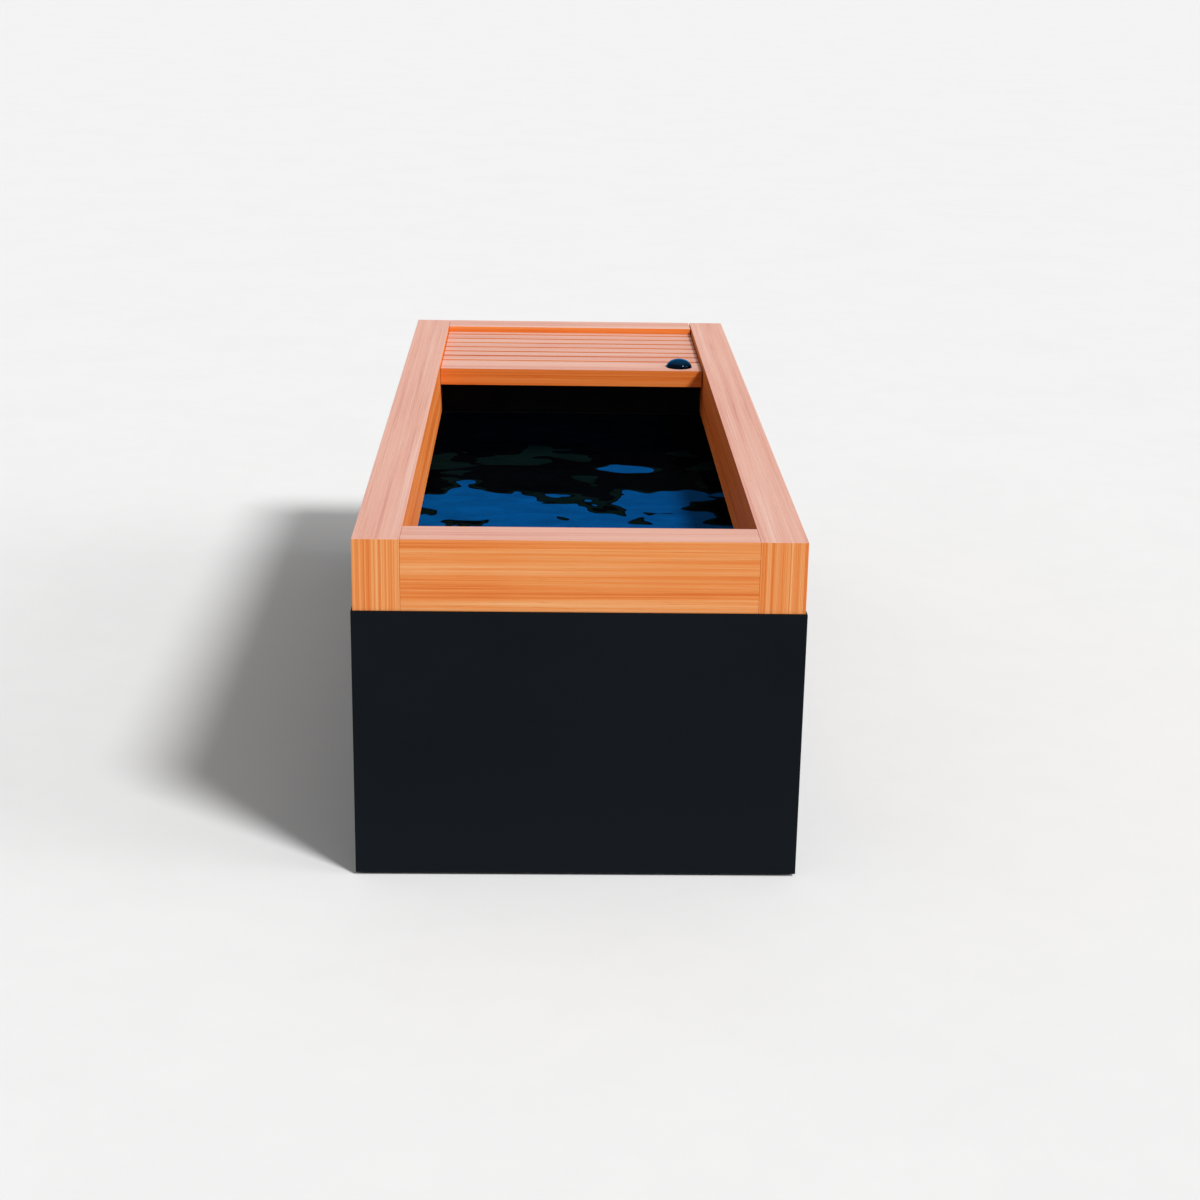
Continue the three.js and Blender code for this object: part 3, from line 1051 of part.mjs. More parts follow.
// Drain pipe, service recess, drain valve, power inlet and control box
function buildServices() {
  const services = new THREE.Group();
  const pipeFront = DRAIN_Y + SUMP_RADIUS + DRAIN_PIPE_GAP;
  const pipeRear = RECESS_BACK - RECESS_WALL - DRAIN_PIPE_GAP;
  const ends = [pipeFront, pipeRear].map((y) => new THREE.Vector3(0, y, DRAIN_Z));
  const pipe = tubeAlong(new THREE.LineCurve3(...ends), HOSE_RADIUS, HOSE_BORE_RADIUS, 1);
  add(services, "drain_pipe", pipe, GREY_PLASTIC);
  add(services, "service_recess", recessShape(), BLACK_PLASTIC);

  const valve = new THREE.Group();
  valve.position.set(0, RECESS_BACK + SEAT_GAP, DRAIN_Z);
  add(valve, "drain_valve", valveBody(), BRASS);
  add(valve, "valve_lever", valveLever(), LEVER_RED).position.set(0, VALVE_LENGTH / 2, 0);
  services.add(valve);

  add(services, "power_inlet", inletShape(), BLACK_PLASTIC).position.set(INLET_X, RECESS_BACK, INLET_Z);
  const outline = roundedRectangle(CONTROL_WIDTH, CONTROL_HEIGHT, CONTROL_CORNER_RADIUS);
  const options = { depth: CONTROL_DEPTH, bevelEnabled: false, curveSegments: BASIN_CORNER_STEPS };
  const box = new THREE.ExtrudeGeometry(outline, options).rotateX(Math.PI / 2);
  const control = add(services, "control_box", box, GREY_PLASTIC);
  control.position.set(CONTROL_X, BAY_REAR, CONTROL_BOTTOM + CONTROL_HEIGHT / 2);
  return services;
}

// A cup behind the rear panel, open to the rear, with a lip against the panel.
function recessShape() {
  const grown = (offset) => [
    [RECESS_LEFT - offset, RECESS_RIGHT + offset],
    [RECESS_BOTTOM - offset, RECESS_TOP + offset],
  ];
  const box = (offset, y) => block(grown(offset)[0], y, grown(offset)[1]);
  const cup = box(RECESS_WALL, [RECESS_BACK - RECESS_WALL, BAY_REAR]);
  const lip = box(RECESS_WALL + RECESS_LIP, [BAY_REAR - RECESS_LIP_THICKNESS, BAY_REAR]);
  const hollow = box(0, [RECESS_BACK, BAY_REAR + CUT_PAST]);
  const hole = (radius) => alongY(rod(radius + HOLE_CLEARANCE, -RECESS_WALL - CUT_PAST, CUT_PAST));
  const valveHole = hole(SPIGOT_RADIUS).translate(0, RECESS_BACK, DRAIN_Z);
  const inletHole = hole(INLET_BODY_RADIUS).translate(INLET_X, RECESS_BACK, INLET_Z);
  return cut(join(cup, lip), hollow, valveHole, inletHole);
}

// A ball valve along +Y: a spigot into the drain pipe, a barrel with a ball seat and a hose outlet.
function valveBody() {
  const tail = -SEAT_GAP - RECESS_WALL - SPIGOT_LENGTH;
  const barrelEnd = VALVE_LENGTH - VALVE_OUTLET_LENGTH;
  const body = turned([
    [0, tail],
    [SPIGOT_RADIUS, tail],
    [SPIGOT_RADIUS, 0],
    [VALVE_FLANGE_RADIUS, 0],
    [VALVE_FLANGE_RADIUS, VALVE_FLANGE_THICKNESS],
    [VALVE_BARREL_RADIUS, VALVE_FLANGE_THICKNESS],
    [VALVE_BARREL_RADIUS, barrelEnd],
    [VALVE_OUTLET_RADIUS, barrelEnd],
    [VALVE_OUTLET_RADIUS, VALVE_LENGTH],
    [0, VALVE_LENGTH],
  ]);
  const bore = rod(VALVE_BORE_RADIUS, tail - CUT_PAST, VALVE_LENGTH + CUT_PAST);
  const middle = VALVE_LENGTH / 2;
  const seat = ball(VALVE_BALL_RADIUS + RUNNING_CLEARANCE).translate(0, middle, 0);
  const stemTop = VALVE_BARREL_RADIUS + CUT_PAST;
  const stemHole = rod(VALVE_STEM_RADIUS + RUNNING_CLEARANCE, 0, stemTop, SMALL_SIDES);
  stemHole.translate(0, middle, 0);
  return cut(alongY(body), alongY(bore), seat, stemHole);
}

// The ball, its stem and the lever, with the lever across the pipe: closed.
function valveLever() {
  const armBottom = VALVE_BARREL_RADIUS + VALVE_STEM_RISE;
  const way = alongX(rod(VALVE_BORE_RADIUS, -VALVE_BARREL_RADIUS, VALVE_BARREL_RADIUS, SMALL_SIDES));
  const plug = cut(ball(VALVE_BALL_RADIUS), way);
  const stemFoot = VALVE_BALL_RADIUS - LAP;
  const stem = rod(VALVE_STEM_RADIUS, stemFoot, armBottom + LAP, SMALL_SIDES);
  const armZ = [armBottom, armBottom + LEVER_THICKNESS];
  const arm = block([-LEVER_WIDTH / 2, LEVER_LENGTH], centred(LEVER_WIDTH / 2), armZ);
  return join(plug, stem, arm);
}

// A round socket in the recess wall, closed towards the bay.
function inletShape() {
  const face = SEAT_GAP + INLET_FLANGE_THICKNESS;
  const body = turned([
    [0, -INLET_BODY_DEPTH],
    [INLET_BODY_RADIUS, -INLET_BODY_DEPTH],
    [INLET_BODY_RADIUS, SEAT_GAP],
    [INLET_FLANGE_RADIUS, SEAT_GAP],
    [INLET_FLANGE_RADIUS, face],
    [INLET_SOCKET_RADIUS, face],
    [INLET_SOCKET_RADIUS, face - INLET_SOCKET_DEPTH],
    [0, face - INLET_SOCKET_DEPTH],
  ]);
  return alongY(body);
}

const tub = new THREE.Group();
tub.name = "cold_plunge_tub";
tub.add(buildBody(), buildBasin(), buildRim(), buildLid(), buildButton());
tub.add(buildChiller(), buildWaterLoop(), buildServices());

export default tub;
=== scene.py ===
import math

import bmesh
import bpy
from mathutils import Matrix, Vector, noise


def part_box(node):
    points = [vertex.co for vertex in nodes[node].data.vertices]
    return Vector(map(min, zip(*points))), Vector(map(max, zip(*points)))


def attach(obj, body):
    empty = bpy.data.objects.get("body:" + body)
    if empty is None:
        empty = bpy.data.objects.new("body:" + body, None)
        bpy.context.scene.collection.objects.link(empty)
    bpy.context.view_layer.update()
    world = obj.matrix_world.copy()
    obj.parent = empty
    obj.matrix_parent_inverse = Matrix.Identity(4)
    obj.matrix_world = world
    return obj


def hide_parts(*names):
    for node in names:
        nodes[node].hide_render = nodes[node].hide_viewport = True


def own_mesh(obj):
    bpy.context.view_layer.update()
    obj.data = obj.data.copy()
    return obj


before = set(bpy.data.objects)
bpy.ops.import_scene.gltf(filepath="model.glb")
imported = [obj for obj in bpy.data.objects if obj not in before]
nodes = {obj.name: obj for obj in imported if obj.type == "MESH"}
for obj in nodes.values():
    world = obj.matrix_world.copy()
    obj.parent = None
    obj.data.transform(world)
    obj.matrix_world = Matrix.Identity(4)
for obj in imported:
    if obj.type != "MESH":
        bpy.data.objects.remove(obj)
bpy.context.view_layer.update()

scene = bpy.context.scene
scene.view_settings.view_transform = "Standard"

SLATS = [f"slat_{i}" for i in range(1, 7)] + ["rear_slat"]
SIDE_RAILS = ["left_rail", "right_rail"]
CROSS_BOARDS = ["front_rail", "rear_rail", "header"] + SLATS
PANELS = ["front_panel", "rear_panel", "left_panel", "right_panel"]
POSTS = [f"{end}_{side}_post" for end in ("front", "rear") for side in ("left", "right")]
HOSES = ["suction_hose", "filter_hose", "chiller_hose", "return_hose", "button_tube"]

# The photograph's camera: its place, its turns in degrees, and its lens
CAMERA_PLACE = (-0.06829, -4.85736, 1.81168)
CAMERA_YAW, CAMERA_PITCH, CAMERA_ROLL = 1.605, 18.234, 0.984
LENS, SENSOR_WIDTH = 63.91, 36

# Edges steeper than these angles stay crisp, in degrees
CRISP_ANGLE = 35
WATER_CRISP_ANGLE = 60

# Widths of the eased edges
RAIL_EASE = 0.0007
DECK_EASE = 0.0009
PANEL_EASE = 0.0008

# World strength as light on the object, and as the pale backdrop that the camera and reflections see
WORLD_LIGHT, WORLD_SEEN = 0.35, 0.95


def make_camera():
    yaw, pitch, roll = (math.radians(turn) for turn in (CAMERA_YAW, CAMERA_PITCH, CAMERA_ROLL))
    ahead = math.cos(pitch)
    forward = Vector((math.sin(yaw) * ahead, math.cos(yaw) * ahead, -math.sin(pitch)))
    level = Vector((math.cos(yaw), -math.sin(yaw), 0))
    rise = level.cross(forward)
    right = level * math.cos(roll) + rise * math.sin(roll)
    up = rise * math.cos(roll) - level * math.sin(roll)
    data = bpy.data.cameras.new("camera")
    data.lens = LENS
    data.sensor_width = SENSOR_WIDTH
    camera = bpy.data.objects.new("camera", data)
    turn = Matrix((right, up, -forward)).transposed().to_4x4()
    camera.matrix_world = Matrix.Translation(CAMERA_PLACE) @ turn
    scene.collection.objects.link(camera)
    scene.camera = camera


# Shader helpers
def material(name):
    made = bpy.data.materials.new(name)
    made.use_nodes = True
    tree = made.node_tree
    return made, tree, tree.nodes["Principled BSDF"]


def put(tree, socket, value):
    if isinstance(value, bpy.types.NodeSocket):
        tree.links.new(value, socket)
    else:
        socket.default_value = value


def coords(tree, scale=(1, 1, 1), shift=(0, 0, 0)):
    source = tree.nodes.new("ShaderNodeTexCoord")
    mapping = tree.nodes.new("ShaderNodeMapping")
    tree.links.new(source.outputs["Object"], mapping.inputs["Vector"])
    mapping.inputs["Scale"].default_value = scale
    mapping.inputs["Location"].default_value = shift
    return mapping.outputs["Vector"]


def split(tree, vector):
    node = tree.nodes.new("ShaderNodeSeparateXYZ")
    tree.links.new(vector, node.inputs[0])
    return node.outputs


def grain(tree, vector, detail=4.0, rough=0.5, bend=0.0):
    node = tree.nodes.new("ShaderNodeTexNoise")
    tree.links.new(vector, node.inputs["Vector"])
    node.inputs["Scale"].default_value = 1.0
    node.inputs["Detail"].default_value = detail
    node.inputs["Roughness"].default_value = rough
    node.inputs["Distortion"].default_value = bend
    return node.outputs["Fac"]


def ramp(tree, value, stops):
    node = tree.nodes.new("ShaderNodeValToRGB")
    put(tree, node.inputs["Fac"], value)
    line = node.color_ramp
    while len(line.elements) < len(stops):
        line.elements.new(0.5)
    for element, (place, color) in zip(line.elements, stops):
        element.position = place
        element.color = (*color, 1)
    return node.outputs["Color"]


def remap(tree, value, low, high, to_low=0.0, to_high=1.0):
    node = tree.nodes.new("ShaderNodeMapRange")
    node.interpolation_type = "SMOOTHSTEP"
    keys = ("Value", "From Min", "From Max", "To Min", "To Max")
    for key, number in zip(keys, (value, low, high, to_low, to_high)):
        put(tree, node.inputs[key], number)
    return node.outputs["Result"]


def mix(tree, factor, a, b, mode="MIX"):
    node = tree.nodes.new("ShaderNodeMix")
    node.data_type = "RGBA"
    node.blend_type = mode
    for index, value in ((0, factor), (6, a), (7, b)):
        put(tree, node.inputs[index], (*value, 1) if isinstance(value, tuple) else value)
    return node.outputs[2]


def mixed(tree, factor, a, b):
    node = tree.nodes.new("ShaderNodeMix")
    for index, value in ((0, factor), (2, a), (3, b)):
        put(tree, node.inputs[index], value)
    return node.outputs[0]


def sums(tree, kind, a, b):
    node = tree.nodes.new("ShaderNodeMath")
    node.operation = kind
    put(tree, node.inputs[0], a)
    put(tree, node.inputs[1], b)
    return node.outputs[0]


# A sum of (value, weight) pairs about their middle, 0.5
def blend(tree, *pairs):
    total = 0.5
    for value, weight in pairs:
        swing = sums(tree, "MULTIPLY", sums(tree, "SUBTRACT", value, 0.5), weight)
        total = sums(tree, "ADD", total, swing)
    return total


def relief(tree, shader, height, strength, distance):
    node = tree.nodes.new("ShaderNodeBump")
    put(tree, node.inputs["Height"], height)
    node.inputs["Strength"].default_value = strength
    node.inputs["Distance"].default_value = distance
    tree.links.new(node.outputs["Normal"], shader.inputs["Normal"])


# 1 on faces that look along an axis: its positive way, its negative way, or both with a way of 0
def facing(tree, axis, way, low=0.5, high=0.8):
    geometry = tree.nodes.new("ShaderNodeNewGeometry")
    part = split(tree, geometry.outputs["Normal"])[axis]
    kind, factor = ("MULTIPLY", way) if way else ("ABSOLUTE", 0.0)
    return remap(tree, sums(tree, kind, part, factor), low, high)


# Timber, from the dark to the pale lines of its grain: outer faces; faces in the well, a deeper, brighter
# copy that is painted light; and tops with a painted pale sky sheen
OUTER_TONES = (
    (0.28, (0.590, 0.135, 0.024)),
    (0.44, (0.670, 0.212, 0.052)),
    (0.56, (0.700, 0.268, 0.086)),
    (0.74, (0.740, 0.365, 0.155)),
)
WELL_TONES = (
    (0.28, (0.640, 0.120, 0.013)),
    (0.50, (0.785, 0.190, 0.031)),
    (0.74, (0.850, 0.280, 0.068)),
)
SHEEN_TOP_TONES = (
    (0.28, (0.550, 0.232, 0.178)),
    (0.44, (0.665, 0.345, 0.268)),
    (0.56, (0.692, 0.385, 0.304)),
    (0.74, (0.735, 0.480, 0.405)),
)
PORE_TINT = (0.80, 0.70, 0.62)


# Streaks, growth lines and fibres run along the board. Its ends show upright growth lines, inner is the way
# along X that a side rail's face in the well looks, and top is how much of the painted pale sky sheen the
# tops get
def cedar(name, along, seed, well=0.0, inner=0, top=1.0):
    made, tree, shader = material(name)
    shift = (seed * 3.17, seed * 5.71, seed * 2.39)
    lengthwise = along == "Y"
    well_share = 0.8

    # Noise drawn out along the board, with so many lines to the metre across it and along it
    def streaks(across, length, detail, rough, bend=0.0):
        scale = (across, length, across * 0.4) if lengthwise else (length, across * 0.8, across)
        return grain(tree, coords(tree, scale, shift), detail, rough, bend)

    broad = streaks(34, 0.6, 3.0, 0.55, 0.4)
    lines = remap(tree, streaks(150, 0.8, 3.0, 0.6, 0.5), 0.28, 0.72)
    hairs = remap(tree, streaks(420, 2.0, 2.0, 0.6, 0.3), 0.28, 0.72)
    fibres = streaks(1100, 12, 2.0, 0.6)
    if lengthwise:
        ends = facing(tree, "Y", 0)
        upright = grain(tree, coords(tree, (150, 3, 0.3), shift), 2.0, 0.55)
        finer = grain(tree, coords(tree, (420, 9, 0.5), shift), 1.0, 0.5)
        finest = grain(tree, coords(tree, (900, 12, 1.0), shift), 1.0, 0.5)
        broad = mixed(tree, ends, broad, remap(tree, upright, 0.30, 0.70, 0.26, 0.74))
        lines = mixed(tree, ends, lines, remap(tree, finer, 0.30, 0.70, 0.22, 0.78))
        hairs = mixed(tree, ends, hairs, remap(tree, finest, 0.28, 0.72))
        fibres = mixed(tree, ends, fibres, finest)
    cloud = grain(tree, coords(tree, (3, 2.2, 3), shift), 2.0, 0.5)
    tone = blend(tree, (broad, 0.60), (lines, 0.22), (hairs, 0.11), (fibres, 0.20), (cloud, 0.16))
    # Painted light: faces in the well take the deeper, brighter well tones, which stand in for how those
    # faces are lit
    in_well = sums(tree, "MULTIPLY", facing(tree, "X", inner), well_share) if lengthwise else well
    colour = mix(tree, in_well, ramp(tree, tone, OUTER_TONES), ramp(tree, tone, WELL_TONES))
    # Painted sheen: faces that look up take the paler, pinker tones, which stand in for pale sky reflected
    # on them
    sheen_share = sums(tree, "MULTIPLY", facing(tree, "Z", 1, 0.35, 0.9), top)
    colour = mix(tree, sheen_share, colour, ramp(tree, tone, SHEEN_TOP_TONES))
    pores = remap(tree, streaks(560, 20, 1.0, 0.5), 0.66, 0.80, 0.0, 0.6)
    put(tree, shader.inputs["Base Color"], mix(tree, pores, colour, PORE_TINT, "MULTIPLY"))
    put(tree, shader.inputs["Roughness"], remap(tree, lines, 0.1, 0.9, 0.48, 0.66))
    shader.inputs["Specular IOR Level"].default_value = 0.10
    height = blend(tree, (lines, 1.2), (hairs, 0.8), (fibres, 0.8), (pores, -1.2))
    relief(tree, shader, height, 0.35, 0.0005)
    return made


# Charcoal coating: a fine orange peel, faint clouds, and paler towards the bottom
def cladding():
    made, tree, shader = material("charcoal_coating")
    peel = grain(tree, coords(tree, (420, 420, 420)), 2.0, 0.5)
    cloud = grain(tree, coords(tree, (2.2, 2.2, 3.0)), 4.0, 0.6)
    speck = grain(tree, coords(tree, (1500, 1500, 1500)), 1.0, 0.5)
    base = ramp(tree, cloud, ((0.3, (0.0036, 0.0054, 0.0076)), (0.7, (0.0050, 0.0070, 0.0094))))
    # The coating turns paler towards the bottom, over the lowest 0.3 m
    low_down = remap(tree, split(tree, coords(tree))["Z"], 0.30, 0.0)
    paler_low_down = mix(tree, low_down, base, (0.0055, 0.0077, 0.0101))
    flecked = mix(tree, remap(tree, speck, 0.62, 0.78, 0, 0.35), paler_low_down, (0.0095, 0.0120, 0.0150))
    put(tree, shader.inputs["Base Color"], flecked)
    put(tree, shader.inputs["Roughness"], remap(tree, cloud, 0.3, 0.7, 0.55, 0.68))
    shader.inputs["Specular IOR Level"].default_value = 0.04
    relief(tree, shader, peel, 0.12, 0.0004)
    return made


# Mouldings, boards, metals and rubber share one recipe, with their own colours, grain and relief
def textured(name, dark, light, rough, scale, bump, metal=0.0, depth=0.0003, stretch=(1, 1, 1), shine=0.4):
    made, tree, shader = material(name)
    fine = grain(tree, coords(tree, tuple(scale * part for part in stretch)), 3.0, 0.55)
    broad = grain(tree, coords(tree, (9, 9, 9)), 4.0, 0.6)
    tone = blend(tree, (fine, 0.5), (broad, 0.5))
    put(tree, shader.inputs["Base Color"], ramp(tree, tone, ((0.35, dark), (0.65, light))))
    put(tree, shader.inputs["Roughness"], remap(tree, broad, 0.3, 0.7, *rough))
    shader.inputs["Metallic"].default_value = metal
    shader.inputs["Specular IOR Level"].default_value = shine
    relief(tree, shader, fine, bump, depth)
    return made


# Polished black cap with the faintest hairlines, and a painted cold blue reflection towards its top: a blue
# metal colour on faces that look up
def gloss_black():
    made, tree, shader = material("gloss_black")
    hair = grain(tree, coords(tree, (900, 60, 900)), 2.0, 0.5)
    broad = grain(tree, coords(tree, (40, 40, 40)), 2.0, 0.5)
    low_down = ramp(tree, broad, ((0.3, (0.002, 0.004, 0.008)), (0.7, (0.003, 0.006, 0.011))))
    # Painted reflection: the blue that up-facing faces take stands in for sky mirrored in the cap
    painted_crown_reflection = ramp(tree, broad, ((0.3, (0.006, 0.026, 0.062)), (0.7, (0.008, 0.033, 0.074))))
    colour = mix(tree, facing(tree, "Z", 1, 0.45, 1.0), low_down, painted_crown_reflection)
    put(tree, shader.inputs["Base Color"], colour)
    put(tree, shader.inputs["Roughness"], remap(tree, hair, 0.3, 0.7, 0.05, 0.11))
    shader.inputs["Metallic"].default_value = 1.0
    shader.inputs["Specular Tint"].default_value = (0.45, 0.65, 1.0, 1)
    return made


# Water: black and deep towards the header, with painted reflections of a sky in place of a rippled
# surface's mirroring:
# crisp drifting patches of blue near the front, one gleam beyond them, and dull green ones round and behind
def water_surface():
    made, tree, shader = material("water")
    drift = grain(tree, coords(tree, (5.9, 6.9, 3), (5.75, 35.06, 0)), 1.0, 0.42, 0.4)
    wave = grain(tree, coords(tree, (11.64, 13.41, 3), (27.63, 19.30, 0)), 1.0, 0.45, 0.5)
    patch = grain(tree, coords(tree, (6.0, 9.0, 3), (5.1, 3.2, 0)), 1.0, 0.40, 0.5)
    streak = grain(tree, coords(tree, (12, 24, 3), (1.1, 0.2, 0)), 4.0, 0.6, 0.6)
    along = split(tree, coords(tree))["Y"]
    # The painted blue reflection shows where the pattern passes a level, which rises away from the front
    # and dips at the gleam
    near, far = -0.365, 0.075
    level = remap(tree, along, near, far, 0.435, 0.875)
    gleam_x, gleam_y = 0.113, 0.004
    gleam_wide, gleam_long, gleam_lift = 0.110, 0.049, 0.62
    gleam = tree.nodes.new("ShaderNodeVectorMath")
    gleam.operation = "LENGTH"
    middle = (-gleam_x / gleam_wide, -gleam_y / gleam_long, 0)
    offset = coords(tree, (1 / gleam_wide, 1 / gleam_long, 0), middle)
    tree.links.new(offset, gleam.inputs[0])
    lifted = remap(tree, gleam.outputs["Value"], 1.5, 0.1, 0, gleam_lift)
    level = sums(tree, "SUBTRACT", level, lifted)
    over = sums(tree, "SUBTRACT", blend(tree, (drift, 0.85), (wave, 0.42)), level)
    # Share of painted blue reflection
    lit = remap(tree, over, -0.004, 0.006)
    # Painted dull green reflection shows just short of that level, and in blotches further back, but for a
    # dark outline
    rim = remap(tree, over, -0.050, -0.044)
    behind = remap(tree, along, 0.30, 0.10)
    reflection_spots = remap(tree, blend(tree, (patch, 1.0), (wave, 0.25)), 0.610, 0.620)
    reflection_blotch = sums(tree, "MULTIPLY", reflection_spots, behind)
    outline = remap(tree, over, -0.011, -0.016)
    dull = sums(tree, "MULTIPLY", sums(tree, "MAXIMUM", rim, reflection_blotch), outline)
    deep = ramp(tree, streak, ((0.35, (0.0001, 0.0003, 0.0008)), (0.65, (0.0003, 0.0008, 0.0018))))
    green = ramp(tree, streak, ((0.35, (0.0010, 0.0046, 0.0046)), (0.65, (0.0016, 0.0070, 0.0070))))
    blue = ramp(tree, streak, ((0.30, (0.0004, 0.046, 0.165)), (0.70, (0.0008, 0.068, 0.240))))
    colour = mix(tree, lit, mix(tree, dull, deep, green), blue)
    put(tree, shader.inputs["Base Color"], colour)
    put(tree, shader.inputs["Roughness"], remap(tree, streak, 0.3, 0.7, 0.04, 0.09))
    shader.inputs["IOR"].default_value = 1.005
    ripple = grain(tree, coords(tree, (30, 14, 20)), 3.0, 0.5, 0.6)
    relief(tree, shader, ripple, 0.35, 0.006)
    return made


# Mesh helpers
def mesh_object(name, mesh, skin, body, crisp=CRISP_ANGLE):
    data = bpy.data.meshes.new(name)
    mesh.to_mesh(data)
    mesh.free()
    data.polygons.foreach_set("use_smooth", [True] * len(data.polygons))
    data.set_sharp_from_angle(angle=math.radians(crisp))
    data.materials.append(skin)
    piece = bpy.data.objects.new(name, data)
    scene.collection.objects.link(piece)
    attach(piece, body)
    return piece


# The turn that lays a form made along Z along another axis
def turned(axis):
    if axis == "Y":
        return Matrix.Rotation(-math.pi / 2, 4, "X")
    return Matrix.Rotation(math.pi / 2, 4, "Y") if axis == "X" else Matrix()


# A turned form from (radius, height) pairs that start and end on the axis, or close on themselves
def revolve(name, profile, place, skin, body, axis="Z", segments=72):
    on_axis = 1e-7
    mesh = bmesh.new()
    rings = []
    for radius, height in profile:
        count = 1 if radius < on_axis else segments
        turns = [2 * math.pi * i / segments for i in range(count)]
        rings.append([mesh.verts.new((radius * math.cos(a), radius * math.sin(a), height)) for a in turns])
    closed = len(rings[0]) > 1
    for low, high in zip(rings, rings[1:] + rings[:1] if closed else rings[1:]):
        for i in range(segments):
            j = (i + 1) % segments
            corners = [low[i % len(low)], low[j % len(low)], high[j % len(high)], high[i % len(high)]]
            mesh.faces.new(list(dict.fromkeys(corners)))
    bmesh.ops.recalc_face_normals(mesh, faces=mesh.faces)
    mesh.transform(Matrix.Translation(place) @ turned(axis))
    return mesh_object(name, mesh, skin, body)


# Water in the basin: a rippled top, and a body that stays clear of the wall fittings and the floor
def make_water(skin):
    below_flange = 0.0042
    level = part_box("basin")[1].z - below_flange
    # The basin's walls, less a hair
    side, front, rear = 0.3412, -0.9912, 0.5645
    corner = 0.040
    across, length = 72, 170
    swell_height, chop_height = 0.0014, 0.0007
    mesh = bmesh.new()
    grid = []
    for j in range(length + 1):
        row = []
        for i in range(across + 1):
            x = -side + 2 * side * i / across
            y = front + (rear - front) * j / length
            inset_x = side - abs(x)
            inset_y = min(y - front, rear - y)
            if inset_x < corner and inset_y < corner:
                dx, dy = corner - inset_x, corner - inset_y
                slack = 1 - max(dx, dy) / math.hypot(dx, dy)
                x -= math.copysign(dx * slack, x)
                y += dy * slack if y - front < rear - y else -dy * slack
            swell = noise.noise(Vector((x * 7, y * 4, 0.3))) * swell_height
            chop = noise.noise(Vector((x * 19, y * 11, 2.1))) * chop_height
            row.append(mesh.verts.new((x, y, level + swell + chop)))
        grid.append(row)
    for j in range(length):
        for i in range(across):
            mesh.faces.new((grid[j][i], grid[j][i + 1], grid[j + 1][i + 1], grid[j + 1][i]))
    edge = [grid[0][i] for i in range(across)] + [grid[j][across] for j in range(length)]
    edge += [grid[length][i] for i in range(across, 0, -1)] + [grid[j][0] for j in range(length, 0, -1)]
    rings = [edge]
    # Height, how far the rear is pulled in for its fittings, and how far every side is
    steps = ((0.500, 0.0, 0.0), (0.490, 0.0125, 0.0), (0.160, 0.0125, 0.002), (0.121, 0.02, 0.022))
    for z, rear_pull, inset in steps:
        ring = []
        for vert in edge:
            x = max(-side + inset, min(side - inset, vert.co.x))
            y = max(front + inset, min(rear - rear_pull - inset, vert.co.y))
            ring.append(mesh.verts.new((x, y, z)))
        rings.append(ring)
    for upper, lower in zip(rings, rings[1:]):
        for i in range(len(edge)):
            j = (i + 1) % len(edge)
            mesh.faces.new((upper[j], upper[i], lower[i], lower[j]))
    mesh.faces.new(rings[-1])
    bmesh.ops.recalc_face_normals(mesh, faces=mesh.faces)
    mesh_object("water", mesh, skin, "tub", WATER_CRISP_ANGLE)


# The button's cap, turned finely: foot, stem, hollow shell and dome
def make_dome(skin):
    low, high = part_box("button_dome")
    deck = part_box("header")[1].z
    place = Vector(((low.x + high.x) / 2, (low.y + high.y) / 2, deck))
    radius, rise, foot = (high.x - low.x) / 2, high.z - deck, low.z - deck
    wall, skirt, eased = 0.003, -0.003, 0.0006
    stem, foot_radius, foot_thickness = 0.006, 0.0095, 0.003
    steps = 20
    quarter = [0.5 * math.pi * i / steps for i in range(steps + 1)]
    inner = [((radius - wall) * math.cos(a), (rise - wall) * math.sin(a)) for a in quarter]
    inner = [point for point in inner if point[0] > stem]
    profile = [(0, foot), (foot_radius, foot), (foot_radius, foot + foot_thickness)]
    profile += [(stem, foot + foot_thickness), (stem, inner[-1][1])] + inner[::-1]
    profile += [(radius - wall, skirt), (radius - eased, skirt), (radius, skirt + eased)]
    profile += [(radius * math.cos(a), rise * math.sin(a)) for a in quarter[:-1]] + [(0, rise)]
    dome = revolve("button_cap", profile, place, skin, "button", segments=96)
    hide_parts("button_dome")


# The button's return spring, drawn at rest; the real spring shortens by the button's travel when it is
# pressed
def make_coil(skin):
    low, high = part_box("button_spring")
    wire, turns, steps, sides = 0.0008, 4, 48, 12
    middle = (low + high) / 2
    radius = (high.x - low.x) / 2 - wire
    climb = high.z - low.z - 2 * wire
    mesh = bmesh.new()
    rings = []
    for i in range(turns * steps + 1):
        share = i / (turns * steps)
        turn = 2 * math.pi * turns * share
        outward = Vector((math.cos(turn), math.sin(turn), 0))
        ahead = Vector((-math.sin(turn), math.cos(turn), climb / (2 * math.pi * turns * radius)))
        upward = outward.cross(ahead.normalized())
        centre = Vector((middle.x, middle.y, low.z + wire + climb * share)) + outward * radius
        angles = [2 * math.pi * j / sides for j in range(sides)]
        points = [centre + (outward * math.cos(a) + upward * math.sin(a)) * wire for a in angles]
        rings.append([mesh.verts.new(point) for point in points])
    for here, after in zip(rings, rings[1:]):
        for j in range(sides):
            k = (j + 1) % sides
            mesh.faces.new((here[j], here[k], after[k], after[j]))
    mesh.faces.new(rings[0])
    mesh.faces.new(rings[-1])
    bmesh.ops.recalc_face_normals(mesh, faces=mesh.faces)
    coil = mesh_object("button_coil", mesh, skin, "tub")
    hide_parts("button_spring")
    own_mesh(coil)


